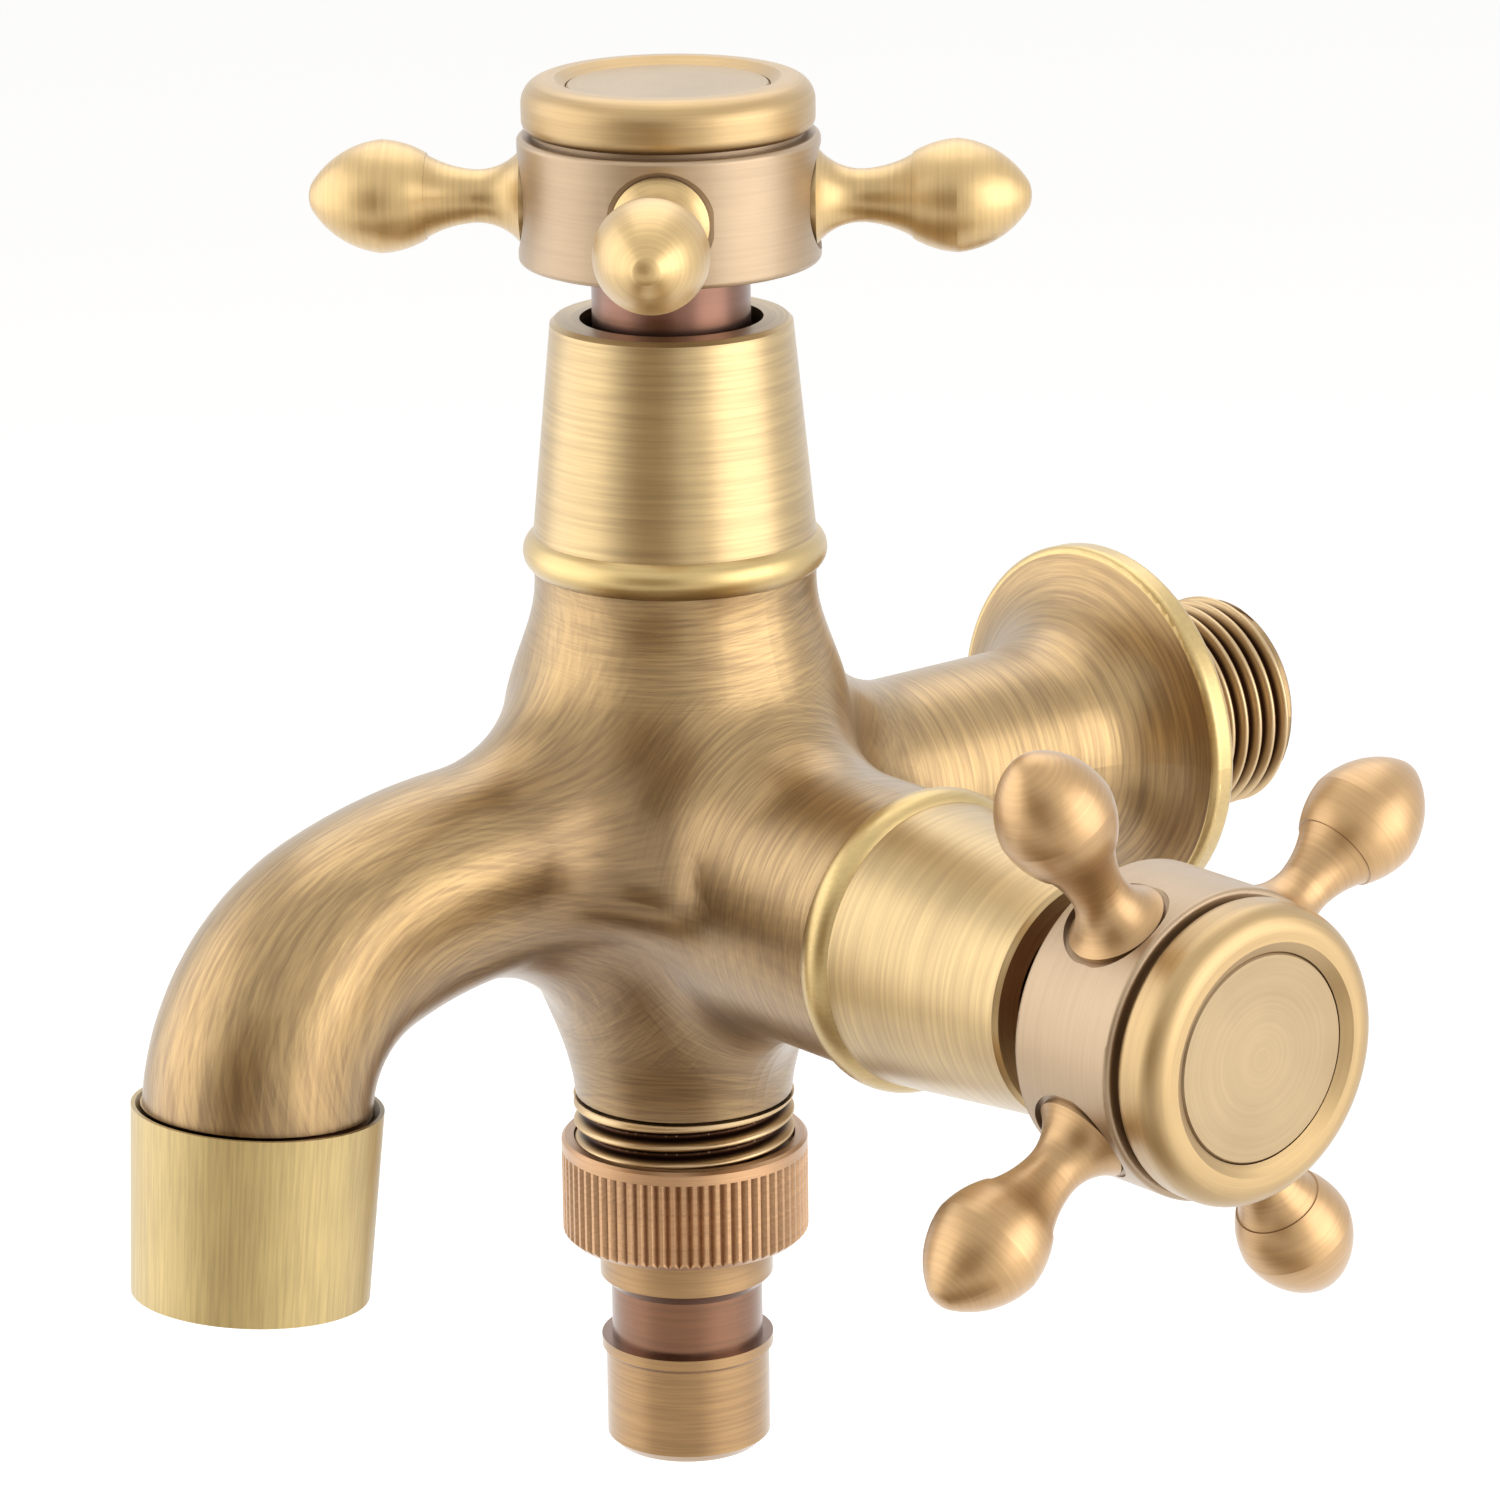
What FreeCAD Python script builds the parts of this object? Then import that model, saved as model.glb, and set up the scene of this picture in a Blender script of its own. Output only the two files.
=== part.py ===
import FreeCAD, Part
import math
import os
from FreeCAD import Vector

# Wall-mounted garden tap with two outlets, cast and turned in brass.
# An upper cross handle works the curved spout, and a side cross handle works
# the hose outlet under the body. All sizes are in millimetres.
# Frame: the origin is the centre of the wall flange's back face, on the inlet's
# axis. +Y points into the wall, +Z up, and +X along the side valve.

# ---- threads and fits --------------------------------------------------------
HALF_INCH_THREAD_D = 20.955     # G1/2 parallel pipe thread, over the crests
THREAD_PITCH = 1.814            # 14 threads per inch
THREAD_DEPTH = 0.64 * THREAD_PITCH  # also the width of a run-out groove and an end chamfer
FIT = 0.05                      # radial clearance of screwed and turning fits
FACE_GAP = 0.05                 # between faces that slide on each other

# ---- cast body ---------------------------------------------------------------
INLET_REACH = 54.3              # wall to the vertical axis
WALL_THREAD_LENGTH = 16.4
INLET_ARM_D = 19.8
FLANGE_D = 37.0
FLANGE_RIM = 2.5                # thickness of the flange at its edge
FLANGE_FLARE_R = 9.5            # hollow sweep from the arm to the flange
NECK_D = 26.2                   # at the beads, under both bonnets
NECK_FOOT_D = 20.6              # where the body meets the hose thread
SWELL_D = 33.6                  # the casting's fullest, where the arms meet
UPPER_SEAT = 29.6               # bonnet seat above the inlet's axis
SIDE_SEAT = 36.7                # bonnet seat beside the vertical axis
SIDE_DROP = 1.9                 # the side valve lies this far below the inlet
BEAD_WIDTH = 3.4
BEAD_PROUD = 1.0
HOSE_NECK_DROP = 25.0           # inlet's axis down to the hose thread
HOSE_THREAD_LENGTH = 9.4
BLEND_R = 14.0                  # between the swell and the two level arms
SIDE_BLEND_R = 11.0             # round the side valve's arm

# ---- spout -------------------------------------------------------------------
SPOUT_D = 19.6
SPOUT_END_D = 20.8              # the spout widens to its threaded end
SPOUT_RISE = 1.4                # the spout climbs a little before it curves
SPOUT_STRAIGHT = 18.5           # vertical axis to the start of the curve
SPOUT_EASY_R = 47.5             # first, easy bend, and its end below the horizontal
SPOUT_EASY_ANGLE = 20.4
SPOUT_TIGHT_R = 16.2            # second, tighter bend
SPOUT_END_ANGLE = 85.0          # below the horizontal
SPOUT_BORE_D = 13.0
SPIGOT_D = 19.8                 # threaded end that carries the outlet sleeve
SPIGOT_LENGTH = 8.0

# ---- waterways ---------------------------------------------------------------
GALLERY_D = 11.0
CHAMBER_DEPTH = 21.1            # bonnet seat down to the valve seat's face
CHAMBER_THREAD_DEPTH = 11.0
CHAMBER_BORE_D = 18.4
SEAT_PORT_D = 8.6
TRANSFER_D = 8.0                # drilled way from a chamber to its outlet
HOSE_BORE_D = 13.0
HOSE_BORE_TOP = 12.0            # below the inlet's axis

# ---- outlet sleeve and aerator -----------------------------------------------
SLEEVE_GAP = 0.1                # casting's end face to the sleeve's mouth
SLEEVE_LENGTH = 17.5
SLEEVE_RIM = 0.4                # wall at the mouth, outside the flared lead-in
SLEEVE_TOP_D = 22.8
SLEEVE_FOOT_D = 21.6
SLEEVE_LIP = 1.6                # height of the inner ledge at the foot
SLEEVE_LIP_D = 17.0
CORE_D = 18.4
WASHER_T = 1.6
SCREEN_T = 1.2
SCREEN_CELL = 1.7
SCREEN_PITCH = 2.3

# ---- bonnet ------------------------------------------------------------------
BONNET_LENGTH = 20.1
BONNET_TOP_D = 22.3
BONNET_LIP = 2.7                # wall at the mouth
BONNET_WALL = 1.4               # wall at the foot
BONNET_COLLAR = 4.5             # threaded inner collar that holds it down

# ---- cartridge, as heights above the bonnet's seat ---------------------------
GASKET_T = 1.0
GASKET_WIDTH = 0.8
CARTRIDGE_FLANGE_T = 1.2
HEX_AF = 19.0
HEX_TOP = 6.0
CARTRIDGE_NECK_D = 16.0
CARTRIDGE_TOP = 12.4
BARREL_D = 16.6
SEAT_SEAL_T = 1.4
DISC_D = 13.2
DISC_T = 2.0
DISC_RIM = 1.2                  # outside the discs' water ports
DISC_PORT = 3.2                 # width of the ports
PORT_TURN = 76.0                # each port's share of the circle, in degrees
WINDOW_WIDTH = 7.0              # the cartridge's side windows
WINDOW_EDGE = 0.4               # above and below a window
SPINDLE_D = 8.0                 # splined end, in the handle
SPINDLE_BODY_D = 10.4           # turning in the cartridge
SPINDLE_FOOT_T = 3.4
SPINDLE_RING_T = 1.5            # rubber ring's section
CLIP_T = 0.8
CLIP_D = 11.4

# ---- handle ------------------------------------------------------------------
HANDLE_GAP = 5.4                # bonnet mouth to hub
BOSS_GAP = 1.15                 # round the handle's boss in the bonnet's mouth
BOSS_DEPTH = 5.0                # reach of the boss into the bonnet
HUB_D = 27.7
HUB_H = 11.7
HUB_EDGE_R = 0.5
HUB_GROOVE_H = 0.35
HUB_GROOVE_DEPTH = 1.4
HUB_WEB = 2.2                   # metal under the handle screw's head
SCREW_D = 4.0
SCREW_HEAD_D = 7.2
SCREW_HEAD_H = 2.4
SCREW_LENGTH = 11.0
SCREW_RECESS_D = 10.0
SPIGOT_TOP_D = 22.0             # hub's upper spigot, inside the cap
CAP_D = 26.8
CAP_H = 4.8
CAP_EDGE_R = 2.2
CAP_WEB = 2.3
INDEX_D = 18.6
INDEX_T = 1.7
INDEX_BEVEL = 1.0

# ---- handle arms -------------------------------------------------------------
ARM_REACH = 33.0                # handle's axis to the tip of a knob
ARM_SEAT = 13.0                 # axis to the flat that the arm stands on
ARM_SEAT_D = 9.8
ARM_ROOT_D = 8.8
ARM_COLLAR = 0.5                # straight length at the root
ARM_STUD_D = 5.0
ARM_STUD_LENGTH = 4.6
ARM_WAIST_D = 4.9
ARM_WAIST_AT = 17.9
KNOB_D = 10.4
KNOB_AT = 26.3
KNOB_SHOULDER_AT = 22.2
KNOB_SHOULDER_D = 7.9
KNOB_STEP = 0.15
KNOB_TIP_R = 1.2                # where the knob's side runs into its rounded tip
UPPER_HANDLE_TURN = 47.5        # first arm, from +X towards +Y
SIDE_HANDLE_TURN = 33.0         # first arm, from +Y towards +Z

# ---- hose coupling -----------------------------------------------------------
NUT_D = 23.4
NUT_HEIGHT = 9.9
NUT_BAND = 1.3                  # plain band above the knurl
NUT_LIP = 1.8
KNURL_COUNT = 68
KNURL_DEPTH = 0.4
NUT_CHAMFER = 0.6
HOSE_WASHER_T = 1.8
TAIL_FLANGE_T = 1.4
TAIL_SHANK_D = 16.5
TAIL_SHANK_END = 3.9            # below the nut
TAIL_GROOVE_D = 14.4
TAIL_GROOVE_LENGTH = 5.4
TAIL_RING_D = 16.4
TAIL_RING_H = 1.4
TAIL_D = 15.6
TAIL_LENGTH = 9.3
TAIL_BORE_D = 10.8

X, Y, Z = Vector(1, 0, 0), Vector(0, 1, 0), Vector(0, 0, 1)
AXIS = Vector(0, -INLET_REACH, 0)          # where the waterways cross
UPPER = AXIS + Z * UPPER_SEAT
SIDE = AXIS + X * SIDE_SEAT - Z * SIDE_DROP
THREAD_R = HALF_INCH_THREAD_D / 2
HOSE_END = -HOSE_NECK_DROP - HOSE_THREAD_LENGTH
HUB_FOOT = BONNET_LENGTH + HANDLE_GAP
HUB_TOP = HUB_FOOT + HUB_H
CAP_FOOT = HUB_TOP + HUB_GROOVE_H
CAP_TOP = CAP_FOOT + CAP_H
DISC_FOOT = -CHAMBER_DEPTH + SEAT_SEAL_T


# ---- small helpers -----------------------------------------------------------
def outline(points):
    """A closed face in the XZ plane: (x, z) is a line's end, (x, z, x, z) an arc's middle and end."""
    start = Vector(points[0][0], 0, points[0][1])
    here, edges = start, []
    for p in points[1:] + [points[0]]:
        end = Vector(p[-2], 0, p[-1])
        if len(p) == 4:
            edges.append(Part.Arc(here, Vector(p[0], 0, p[1]), end).toShape())
        elif (end - here).Length > 1e-7:
            edges.append(Part.makeLine(here, end))
        here = end
    return Part.Face(Part.Wire(edges))


def turned(points):
    """A solid turned about +Z from (radius, height) points."""
    return outline(points).revolve(Vector(), Z, 360)


def ring(outer, inner, low, high):
    return turned([(inner, low), (outer, low), (outer, high), (inner, high)])


def rod(radius, low, high):
    return Part.makeCylinder(radius, high - low, Z * low)


def stand(shape, place, direction):
    """Moves a piece made about +Z so that it stands at place, along direction."""
    moved = shape.copy()
    moved.Placement = FreeCAD.Placement(place, FreeCAD.Rotation(Z, direction)) * moved.Placement
    return moved


def tunnel(start, end, radius):
    way = end - start
    return Part.makeCylinder(radius, way.Length, start, way)


def tidy(shape):
    """One clean solid, with faces on the same surface joined."""
    clean = shape.removeSplitter()
    return clean.Solids[0] if len(clean.Solids) == 1 else clean


# ---- cast body ---------------------------------------------------------------
def spout_line(tail=0.0):
    """The spout's centre line, with a straight tail if asked, and its end's place and direction."""
    begin = AXIS
    bend = AXIS + Vector(0, -SPOUT_STRAIGHT, SPOUT_RISE)
    climb = math.atan2(SPOUT_RISE, SPOUT_STRAIGHT)
    edges = [Part.makeLine(begin, bend)]
    angle, place = -climb, bend
    for radius, last in ((SPOUT_EASY_R, SPOUT_EASY_ANGLE), (SPOUT_TIGHT_R, SPOUT_END_ANGLE)):
        last = math.radians(last)
        centre = place + Vector(0, math.sin(angle), -math.cos(angle)) * radius
        middle, end = [centre + Vector(0, -math.sin(a), math.cos(a)) * radius
                       for a in ((angle + last) / 2, last)]
        edges.append(Part.Arc(place, middle, end).toShape())
        angle, place = last, end
    way = Vector(0, -math.cos(angle), -math.sin(angle))
    if tail:
        edges.append(Part.makeLine(place, place + way * tail))
    return Part.Wire(edges), place, way


def spout_outside():
    """Round stub out of the body, then the curved stretch that widens to the threaded end."""
    line, end, way = spout_line()
    start = Vector(0, -SPOUT_STRAIGHT, SPOUT_RISE)
    stub = Part.makeCylinder(SPOUT_D / 2, start.Length, AXIS, start)
    sections = [Part.Wire(Part.makeCircle(SPOUT_D / 2, AXIS + start, start)),
                Part.Wire(Part.makeCircle(SPOUT_END_D / 2, end, way))]
    return stub.fuse(Part.Wire(line.Edges[1:]).makePipeShell(sections, True, False))


def spout_bore():
    line, _, _ = spout_line(SPIGOT_LENGTH + 1)
    start = Vector(0, -SPOUT_STRAIGHT, SPOUT_RISE)
    return line.makePipeShell([Part.Wire(Part.makeCircle(SPOUT_BORE_D / 2, AXIS, start))], True, False)


def inlet_arm():
    """Arm, hollow sweep and wall flange, turned about the inlet's axis; the heights run out from the wall."""
    arm_r = INLET_ARM_D / 2
    rim_r = FLANGE_D / 2
    edge = FLANGE_RIM * 0.3
    sweep_top = FLANGE_RIM + FLANGE_FLARE_R
    centre_r = arm_r + FLANGE_FLARE_R
    last = math.acos(min(1.0, (centre_r - rim_r + edge) / FLANGE_FLARE_R))
    half = last / 2
    foot = sweep_top - FLANGE_FLARE_R * math.sin(last)
    profile = [
        (0, 0), (rim_r - edge, 0),
        (rim_r - edge * 0.29, edge * 0.29, rim_r, edge),
        (rim_r, foot - edge),
        (rim_r - edge * 0.29, foot - edge * 0.29, rim_r - edge, foot),
        (centre_r - FLANGE_FLARE_R * math.cos(half), sweep_top - FLANGE_FLARE_R * math.sin(half),
         arm_r, sweep_top),
        (arm_r, INLET_REACH), (0, INLET_REACH)]
    return stand(turned(profile), Vector(), -Y)


def on_round(edge, centre, direction, radius):
    """Whether a curved edge lies on a round surface about an axis."""
    if isinstance(edge.Curve, Part.Line):
        return False
    for share in (0.0, 0.25, 0.5, 0.75, 1.0):
        p = edge.valueAt(edge.FirstParameter + share * (edge.LastParameter - edge.FirstParameter))
        away = (p - centre).cross(direction).Length / direction.Length
        if abs(away - radius) > 0.02:
            return False
    return True


def swelling_neck():
    """Vertical trunk with one smooth profile: slim at both ends and full where the arms meet."""
    top, foot = UPPER_SEAT - BEAD_WIDTH, -HOSE_NECK_DROP
    neck, full, slim = NECK_D / 2, SWELL_D / 2, NECK_FOOT_D / 2
    curve = Part.BSplineCurve()
    curve.interpolate([Vector(neck, 0, top), Vector(neck + 0.2, 0, top * 0.87),
                       Vector((neck + full * 2) / 3, 0, top * 0.6), Vector(full, 0, top * 0.22),
                       Vector(full - 0.5, 0, foot * 0.2), Vector(slim * 0.55 + full * 0.45, 0, foot * 0.6),
                       Vector(slim + 0.6, 0, foot * 0.86), Vector(slim, 0, foot)])
    edges = [curve.toShape(), Part.makeLine(Vector(slim, 0, foot), Vector(0, 0, foot)),
             Part.makeLine(Vector(0, 0, foot), Vector(0, 0, top)),
             Part.makeLine(Vector(0, 0, top), Vector(neck, 0, top))]
    return stand(Part.Face(Part.Wire(edges)).revolve(Vector(), Z, 360), AXIS, Z)


def blended_casting():
    """The outside of the body: neck, level arms and side arm, blended into one another."""
    body = swelling_neck().fuse([inlet_arm(), spout_outside()]).removeSplitter()
    spout_way = Vector(0, -SPOUT_STRAIGHT, SPOUT_RISE)
    seams = [e for e in body.Edges
             if (on_round(e, AXIS, Y, INLET_ARM_D / 2) or on_round(e, AXIS, spout_way, SPOUT_D / 2))
             and e.BoundBox.YMax < -INLET_REACH / 2
             and e.BoundBox.YMin > -INLET_REACH - SPOUT_STRAIGHT + 1]
    body = body.makeFillet(BLEND_R, seams)
    centre = AXIS - Z * SIDE_DROP
    arm = Part.makeCylinder(NECK_D / 2, SIDE_SEAT - BEAD_WIDTH, centre, X)
    body = body.fuse(arm).removeSplitter()
    seams = [e for e in body.Edges
             if on_round(e, centre, X, NECK_D / 2) and e.BoundBox.XMax < SIDE_SEAT - BEAD_WIDTH - 0.5]
    return body.makeFillet(SIDE_BLEND_R, seams)


def bead():
    """Half-round bead that a bonnet seats on; its upper face is at height 0."""
    r, w = NECK_D / 2, BEAD_WIDTH
    return turned([(0, -w), (r, -w), (r + BEAD_PROUD, -w / 2, r, 0), (0, 0)])


def male_thread(length, groove):
    """Plain cylinder over the crests with an end chamfer, from height 0 up past its run-out groove."""
    root = THREAD_R - THREAD_DEPTH
    return turned([(0, 0), (root, 0), (root, groove), (THREAD_R, groove),
                   (THREAD_R, length - THREAD_DEPTH), (root, length), (0, length)])


def valve_chamber():
    """Space for a cartridge: gasket recess, thread, chamber and the port in the valve seat."""
    gasket_r = THREAD_R + FIT + GASKET_WIDTH
    space = rod(gasket_r, -GASKET_T, 0)
    space = space.fuse([rod(THREAD_R + FIT, -CHAMBER_THREAD_DEPTH, -GASKET_T),
                        rod(CHAMBER_BORE_D / 2, -CHAMBER_DEPTH, -CHAMBER_THREAD_DEPTH)])
    return space


def waterways():
    """Inlet gallery to both valve seats, and each chamber's way to its own outlet."""
    gallery_end = AXIS - Y * (GALLERY_D / 4)
    gallery = tunnel(Y * WALL_THREAD_LENGTH, gallery_end, GALLERY_D / 2)
    ways = [gallery,
            tunnel(AXIS, UPPER - Z * CHAMBER_DEPTH, SEAT_PORT_D / 2),
            tunnel(AXIS - Z * SIDE_DROP, SIDE - X * CHAMBER_DEPTH, SEAT_PORT_D / 2),
            stand(valve_chamber(), UPPER, Z),
            stand(valve_chamber(), SIDE, X)]
    # the spout's bore starts clear of the gallery, and the hose bore below it
    clear = NECK_D / 2 + 1
    keep = Part.makeBox(80, INLET_REACH + SPOUT_STRAIGHT + 60, 160,
                        Vector(-40, -INLET_REACH - clear, -80))
    ways.append(spout_bore().cut(keep))
    upper_mid = UPPER - Z * (CHAMBER_DEPTH - TRANSFER_D / 2)
    slant = Vector(0, -SPOUT_STRAIGHT * 0.8, SPOUT_RISE)
    ways.append(tunnel(upper_mid - Y * (CHAMBER_BORE_D / 4), AXIS + slant, TRANSFER_D / 2))
    hose_top = AXIS - Z * HOSE_BORE_TOP
    ways.append(tunnel(AXIS + Z * (HOSE_END - 1), hose_top - Z * 3, HOSE_BORE_D / 2))
    side_mid = SIDE - X * (CHAMBER_DEPTH - TRANSFER_D / 2) - Z * (CHAMBER_BORE_D / 4)
    ways.append(tunnel(side_mid, hose_top - Z * 8, TRANSFER_D / 2))
    return ways


def tap_body():
    _, spout_end, spout_way = spout_line()
    spigot = turned([(0, -1), (SPIGOT_D / 2, -1), (SPIGOT_D / 2, SPIGOT_LENGTH), (0, SPIGOT_LENGTH)])
    body = blended_casting().fuse([
        stand(bead(), UPPER, Z), stand(bead(), SIDE, X),
        stand(male_thread(WALL_THREAD_LENGTH, 0), Vector(), Y),
        stand(male_thread(HOSE_THREAD_LENGTH, THREAD_DEPTH), AXIS - Z * HOSE_NECK_DROP, -Z),
        stand(spigot, spout_end, spout_way)])
    return tidy(body.cut(waterways()))


# ---- outlet sleeve and aerator -----------------------------------------------
def outlet_sleeve():
    low, high = SLEEVE_GAP, SLEEVE_GAP + SLEEVE_LENGTH
    ledge = high - SLEEVE_LIP
    bore, mouth = SPIGOT_D / 2 + FIT, SLEEVE_TOP_D / 2 - SLEEVE_RIM
    return turned([
        (bore, low + mouth - bore), (mouth, low), (SLEEVE_TOP_D / 2, low), (SLEEVE_FOOT_D / 2, high),
        (SLEEVE_LIP_D / 2, high), (SLEEVE_LIP_D / 2, ledge), (CORE_D / 2 + FIT, ledge),
        (CORE_D / 2 + FIT, SPIGOT_LENGTH), (bore, SPIGOT_LENGTH)])


def outlet_washer():
    return ring(CORE_D / 2, SPOUT_BORE_D / 2, SPIGOT_LENGTH, SPIGOT_LENGTH + WASHER_T)


def screen_foot():
    return SLEEVE_GAP + SLEEVE_LENGTH - SLEEVE_LIP


def aerator_core():
    """Stepped plastic core with a through way, standing on the screen."""
    top = SPIGOT_LENGTH + WASHER_T
    foot = screen_foot() - SCREEN_T
    wall = 1.3
    deck = top + (foot - top) * 0.4
    core = turned([
        (SPOUT_BORE_D / 4, top), (CORE_D / 2, top), (CORE_D / 2, top + wall),
        (CORE_D / 2 - wall, top + wall), (CORE_D / 2 - wall, foot - wall),
        (CORE_D / 2, foot - wall), (CORE_D / 2, foot), (CORE_D / 2 - 2 * wall, foot),
        (CORE_D / 2 - 2 * wall, deck), (SPOUT_BORE_D / 4, deck)])
    slots = [stand(Part.makeBox(1.2, 3 * CORE_D, 1.4, Vector(-0.6, -1.5 * CORE_D, 0)),
                   Z * (deck + 1.0), Z)]
    return core.cut(slots)


def aerator_screen():
    """Flat grid of square cells at the outlet."""
    foot = screen_foot()
    rim = 1.0
    disc = rod(CORE_D / 2, foot - SCREEN_T, foot)
    half = SCREEN_CELL / 2
    reach = SLEEVE_LIP_D / 2 - rim * 0.3
    count = int(reach // SCREEN_PITCH)
    cells = []
    for column in range(-count, count + 1):
        for row in range(-count, count + 1):
            x, y = column * SCREEN_PITCH, row * SCREEN_PITCH
            if math.hypot(abs(x) + half, abs(y) + half) < reach:
                corner = Vector(x - half, y - half, foot - SCREEN_T - 1)
                cells.append(Part.makeBox(SCREEN_CELL, SCREEN_CELL, SCREEN_T + 2, corner))
    return disc.cut(cells)


# ---- valve: bonnet and cartridge ---------------------------------------------
def cone_radius(height):
    """Outside radius of the bonnet at a height above its seat."""
    return (NECK_D + (BONNET_TOP_D - NECK_D) * height / BONNET_LENGTH) / 2


def bonnet():
    """Tapered cover; its inner collar screws onto the cartridge's neck."""
    edge = 0.4
    mouth = BONNET_TOP_D / 2 - BONNET_LIP
    inside = NECK_D / 2 - BONNET_WALL
    collar_low = CARTRIDGE_TOP - BONNET_COLLAR
    bore = CARTRIDGE_NECK_D / 2 + FIT
    return turned([
        (inside, 0), (NECK_D / 2, 0), (cone_radius(BONNET_LENGTH - edge), BONNET_LENGTH - edge),
        (BONNET_TOP_D / 2 - edge, BONNET_LENGTH), (mouth, BONNET_LENGTH),
        (mouth, CARTRIDGE_TOP), (bore, CARTRIDGE_TOP), (bore, collar_low),
        (inside, collar_low - (inside - bore) * 0.6)])


def cartridge_gasket():
    return ring(THREAD_R + FIT + GASKET_WIDTH - FIT, THREAD_R - THREAD_DEPTH, -GASKET_T, 0)


def hexagon(across, low, high):
    corners = [Vector(across / math.sqrt(3) * math.cos(math.radians(60 * k)),
                      across / math.sqrt(3) * math.sin(math.radians(60 * k)), low)
               for k in range(7)]
    return Part.Face(Part.makePolygon(corners)).extrude(Z * (high - low))


def disc_top():
    """Upper face of the moving disc, which the spindle's foot stands on."""
    return DISC_FOOT + 2 * DISC_T + FACE_GAP


def cartridge_bore():
    """Room inside the cartridge for the discs and the spindle."""
    foot_top = disc_top() + SPINDLE_FOOT_T
    return rod(DISC_D / 2 + FIT, DISC_FOOT - 1, foot_top + FIT).fuse(
        rod(SPINDLE_BODY_D / 2 + FIT, foot_top, CARTRIDGE_TOP + 1))


def cartridge():
    """Headwork with hexagon, thread, neck and two windows beside the spindle's foot."""
    root = THREAD_R - THREAD_DEPTH
    gasket_r = THREAD_R + FIT + GASKET_WIDTH
    thread_foot = -CHAMBER_THREAD_DEPTH + 0.5
    body = turned([
        (0, DISC_FOOT), (BARREL_D / 2, DISC_FOOT), (BARREL_D / 2, thread_foot),
        (THREAD_R, thread_foot + 1), (THREAD_R, -GASKET_T - 0.6), (root, -GASKET_T - 0.6),
        (root, 0), (gasket_r, 0), (gasket_r, CARTRIDGE_FLANGE_T), (0, CARTRIDGE_FLANGE_T)])
    body = body.fuse([hexagon(HEX_AF, CARTRIDGE_FLANGE_T, HEX_TOP),
                      rod(CARTRIDGE_NECK_D / 2, HEX_TOP, CARTRIDGE_TOP)])
    height = SPINDLE_FOOT_T - 2 * WINDOW_EDGE
    window = Part.makeBox(BARREL_D + 4, WINDOW_WIDTH, height,
                          Vector(-BARREL_D / 2 - 2, -WINDOW_WIDTH / 2, disc_top() + WINDOW_EDGE))
    return tidy(body.cut([cartridge_bore(), window]))


def seat_seal():
    return ring(DISC_D / 2, SEAT_PORT_D / 2, -CHAMBER_DEPTH, DISC_FOOT)


def port_pair(low, high, middle, outer=DISC_D / 2 - DISC_RIM):
    """Two opposite curved openings, the first centred middle degrees round from +X."""
    inner = DISC_D / 2 - DISC_RIM - DISC_PORT
    half = math.radians(PORT_TURN / 2)
    first = outline([
        (inner * math.cos(half), -inner * math.sin(half)), (outer * math.cos(half), -outer * math.sin(half)),
        (outer, 0, outer * math.cos(half), outer * math.sin(half)),
        (inner * math.cos(half), inner * math.sin(half)),
        (inner, 0, inner * math.cos(half), -inner * math.sin(half))])
    flat = first.copy()
    flat.Placement = FreeCAD.Placement(Z * low, FreeCAD.Rotation(Vector(1, 0, 0), 90))
    ports = []
    for turn in (middle, middle + 180):
        port = flat.extrude(Z * (high - low))
        port.rotate(Vector(), Z, turn)
        ports.append(port)
    return ports


def fixed_disc():
    """Ceramic seat; its ports lie across the moving disc's while the valve is shut."""
    disc = rod(DISC_D / 2, DISC_FOOT, DISC_FOOT + DISC_T)
    return disc.cut(port_pair(DISC_FOOT - 1, DISC_FOOT + DISC_T + 1, 0))


def drive_slot(extra):
    """The tang under the spindle, or the slot in the moving disc that it drives."""
    width, depth = 2.4, DISC_T * 0.5
    return Part.makeBox(DISC_D + 2, width + 2 * extra, depth + extra + 1,
                        Vector(-DISC_D / 2 - 1, -width / 2 - extra, disc_top() - depth - extra))


def moving_disc():
    low = disc_top() - DISC_T
    disc = rod(DISC_D / 2 - FIT, low, low + DISC_T)
    return tidy(disc.cut(port_pair(low - 1, low + DISC_T + 1, 90) + [drive_slot(FIT)]))


def spindle():
    """Tang, foot, sealed body with a ring groove, clip groove and the end in the handle."""
    foot = disc_top()
    shoulder = foot + SPINDLE_FOOT_T
    body_r, end_r = SPINDLE_BODY_D / 2, SPINDLE_D / 2
    groove_low = ring_groove()
    groove_high = groove_low + SPINDLE_RING_T + 2 * FIT
    groove_r = body_r + FIT - SPINDLE_RING_T
    neck_top = CARTRIDGE_TOP + CLIP_T + 3 * FIT
    top = spindle_top()
    solid = turned([
        (0, foot), (DISC_D / 2 - FIT, foot), (DISC_D / 2 - FIT, shoulder), (body_r, shoulder),
        (body_r, groove_low), (groove_r, groove_low), (groove_r, groove_high), (body_r, groove_high),
        (body_r, CARTRIDGE_TOP + FIT), (end_r, CARTRIDGE_TOP + FIT), (end_r, top - 0.5),
        (end_r - 0.5, top), (0, top)])
    tang = drive_slot(0).common(rod(DISC_D / 2 - 2 * FIT, foot - DISC_T, foot))
    ways_out = port_pair(foot - 1, shoulder - WINDOW_EDGE, 90, DISC_D / 2 + 1)
    solid = solid.fuse(tang)
    return tidy(solid.cut(ways_out + [rod(SCREW_D / 2 + FIT, screw_tip() - 1, top + 1)]))


def ring_groove():
    """Height of the spindle's ring groove."""
    return (disc_top() + SPINDLE_FOOT_T + CARTRIDGE_TOP) / 2


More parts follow.
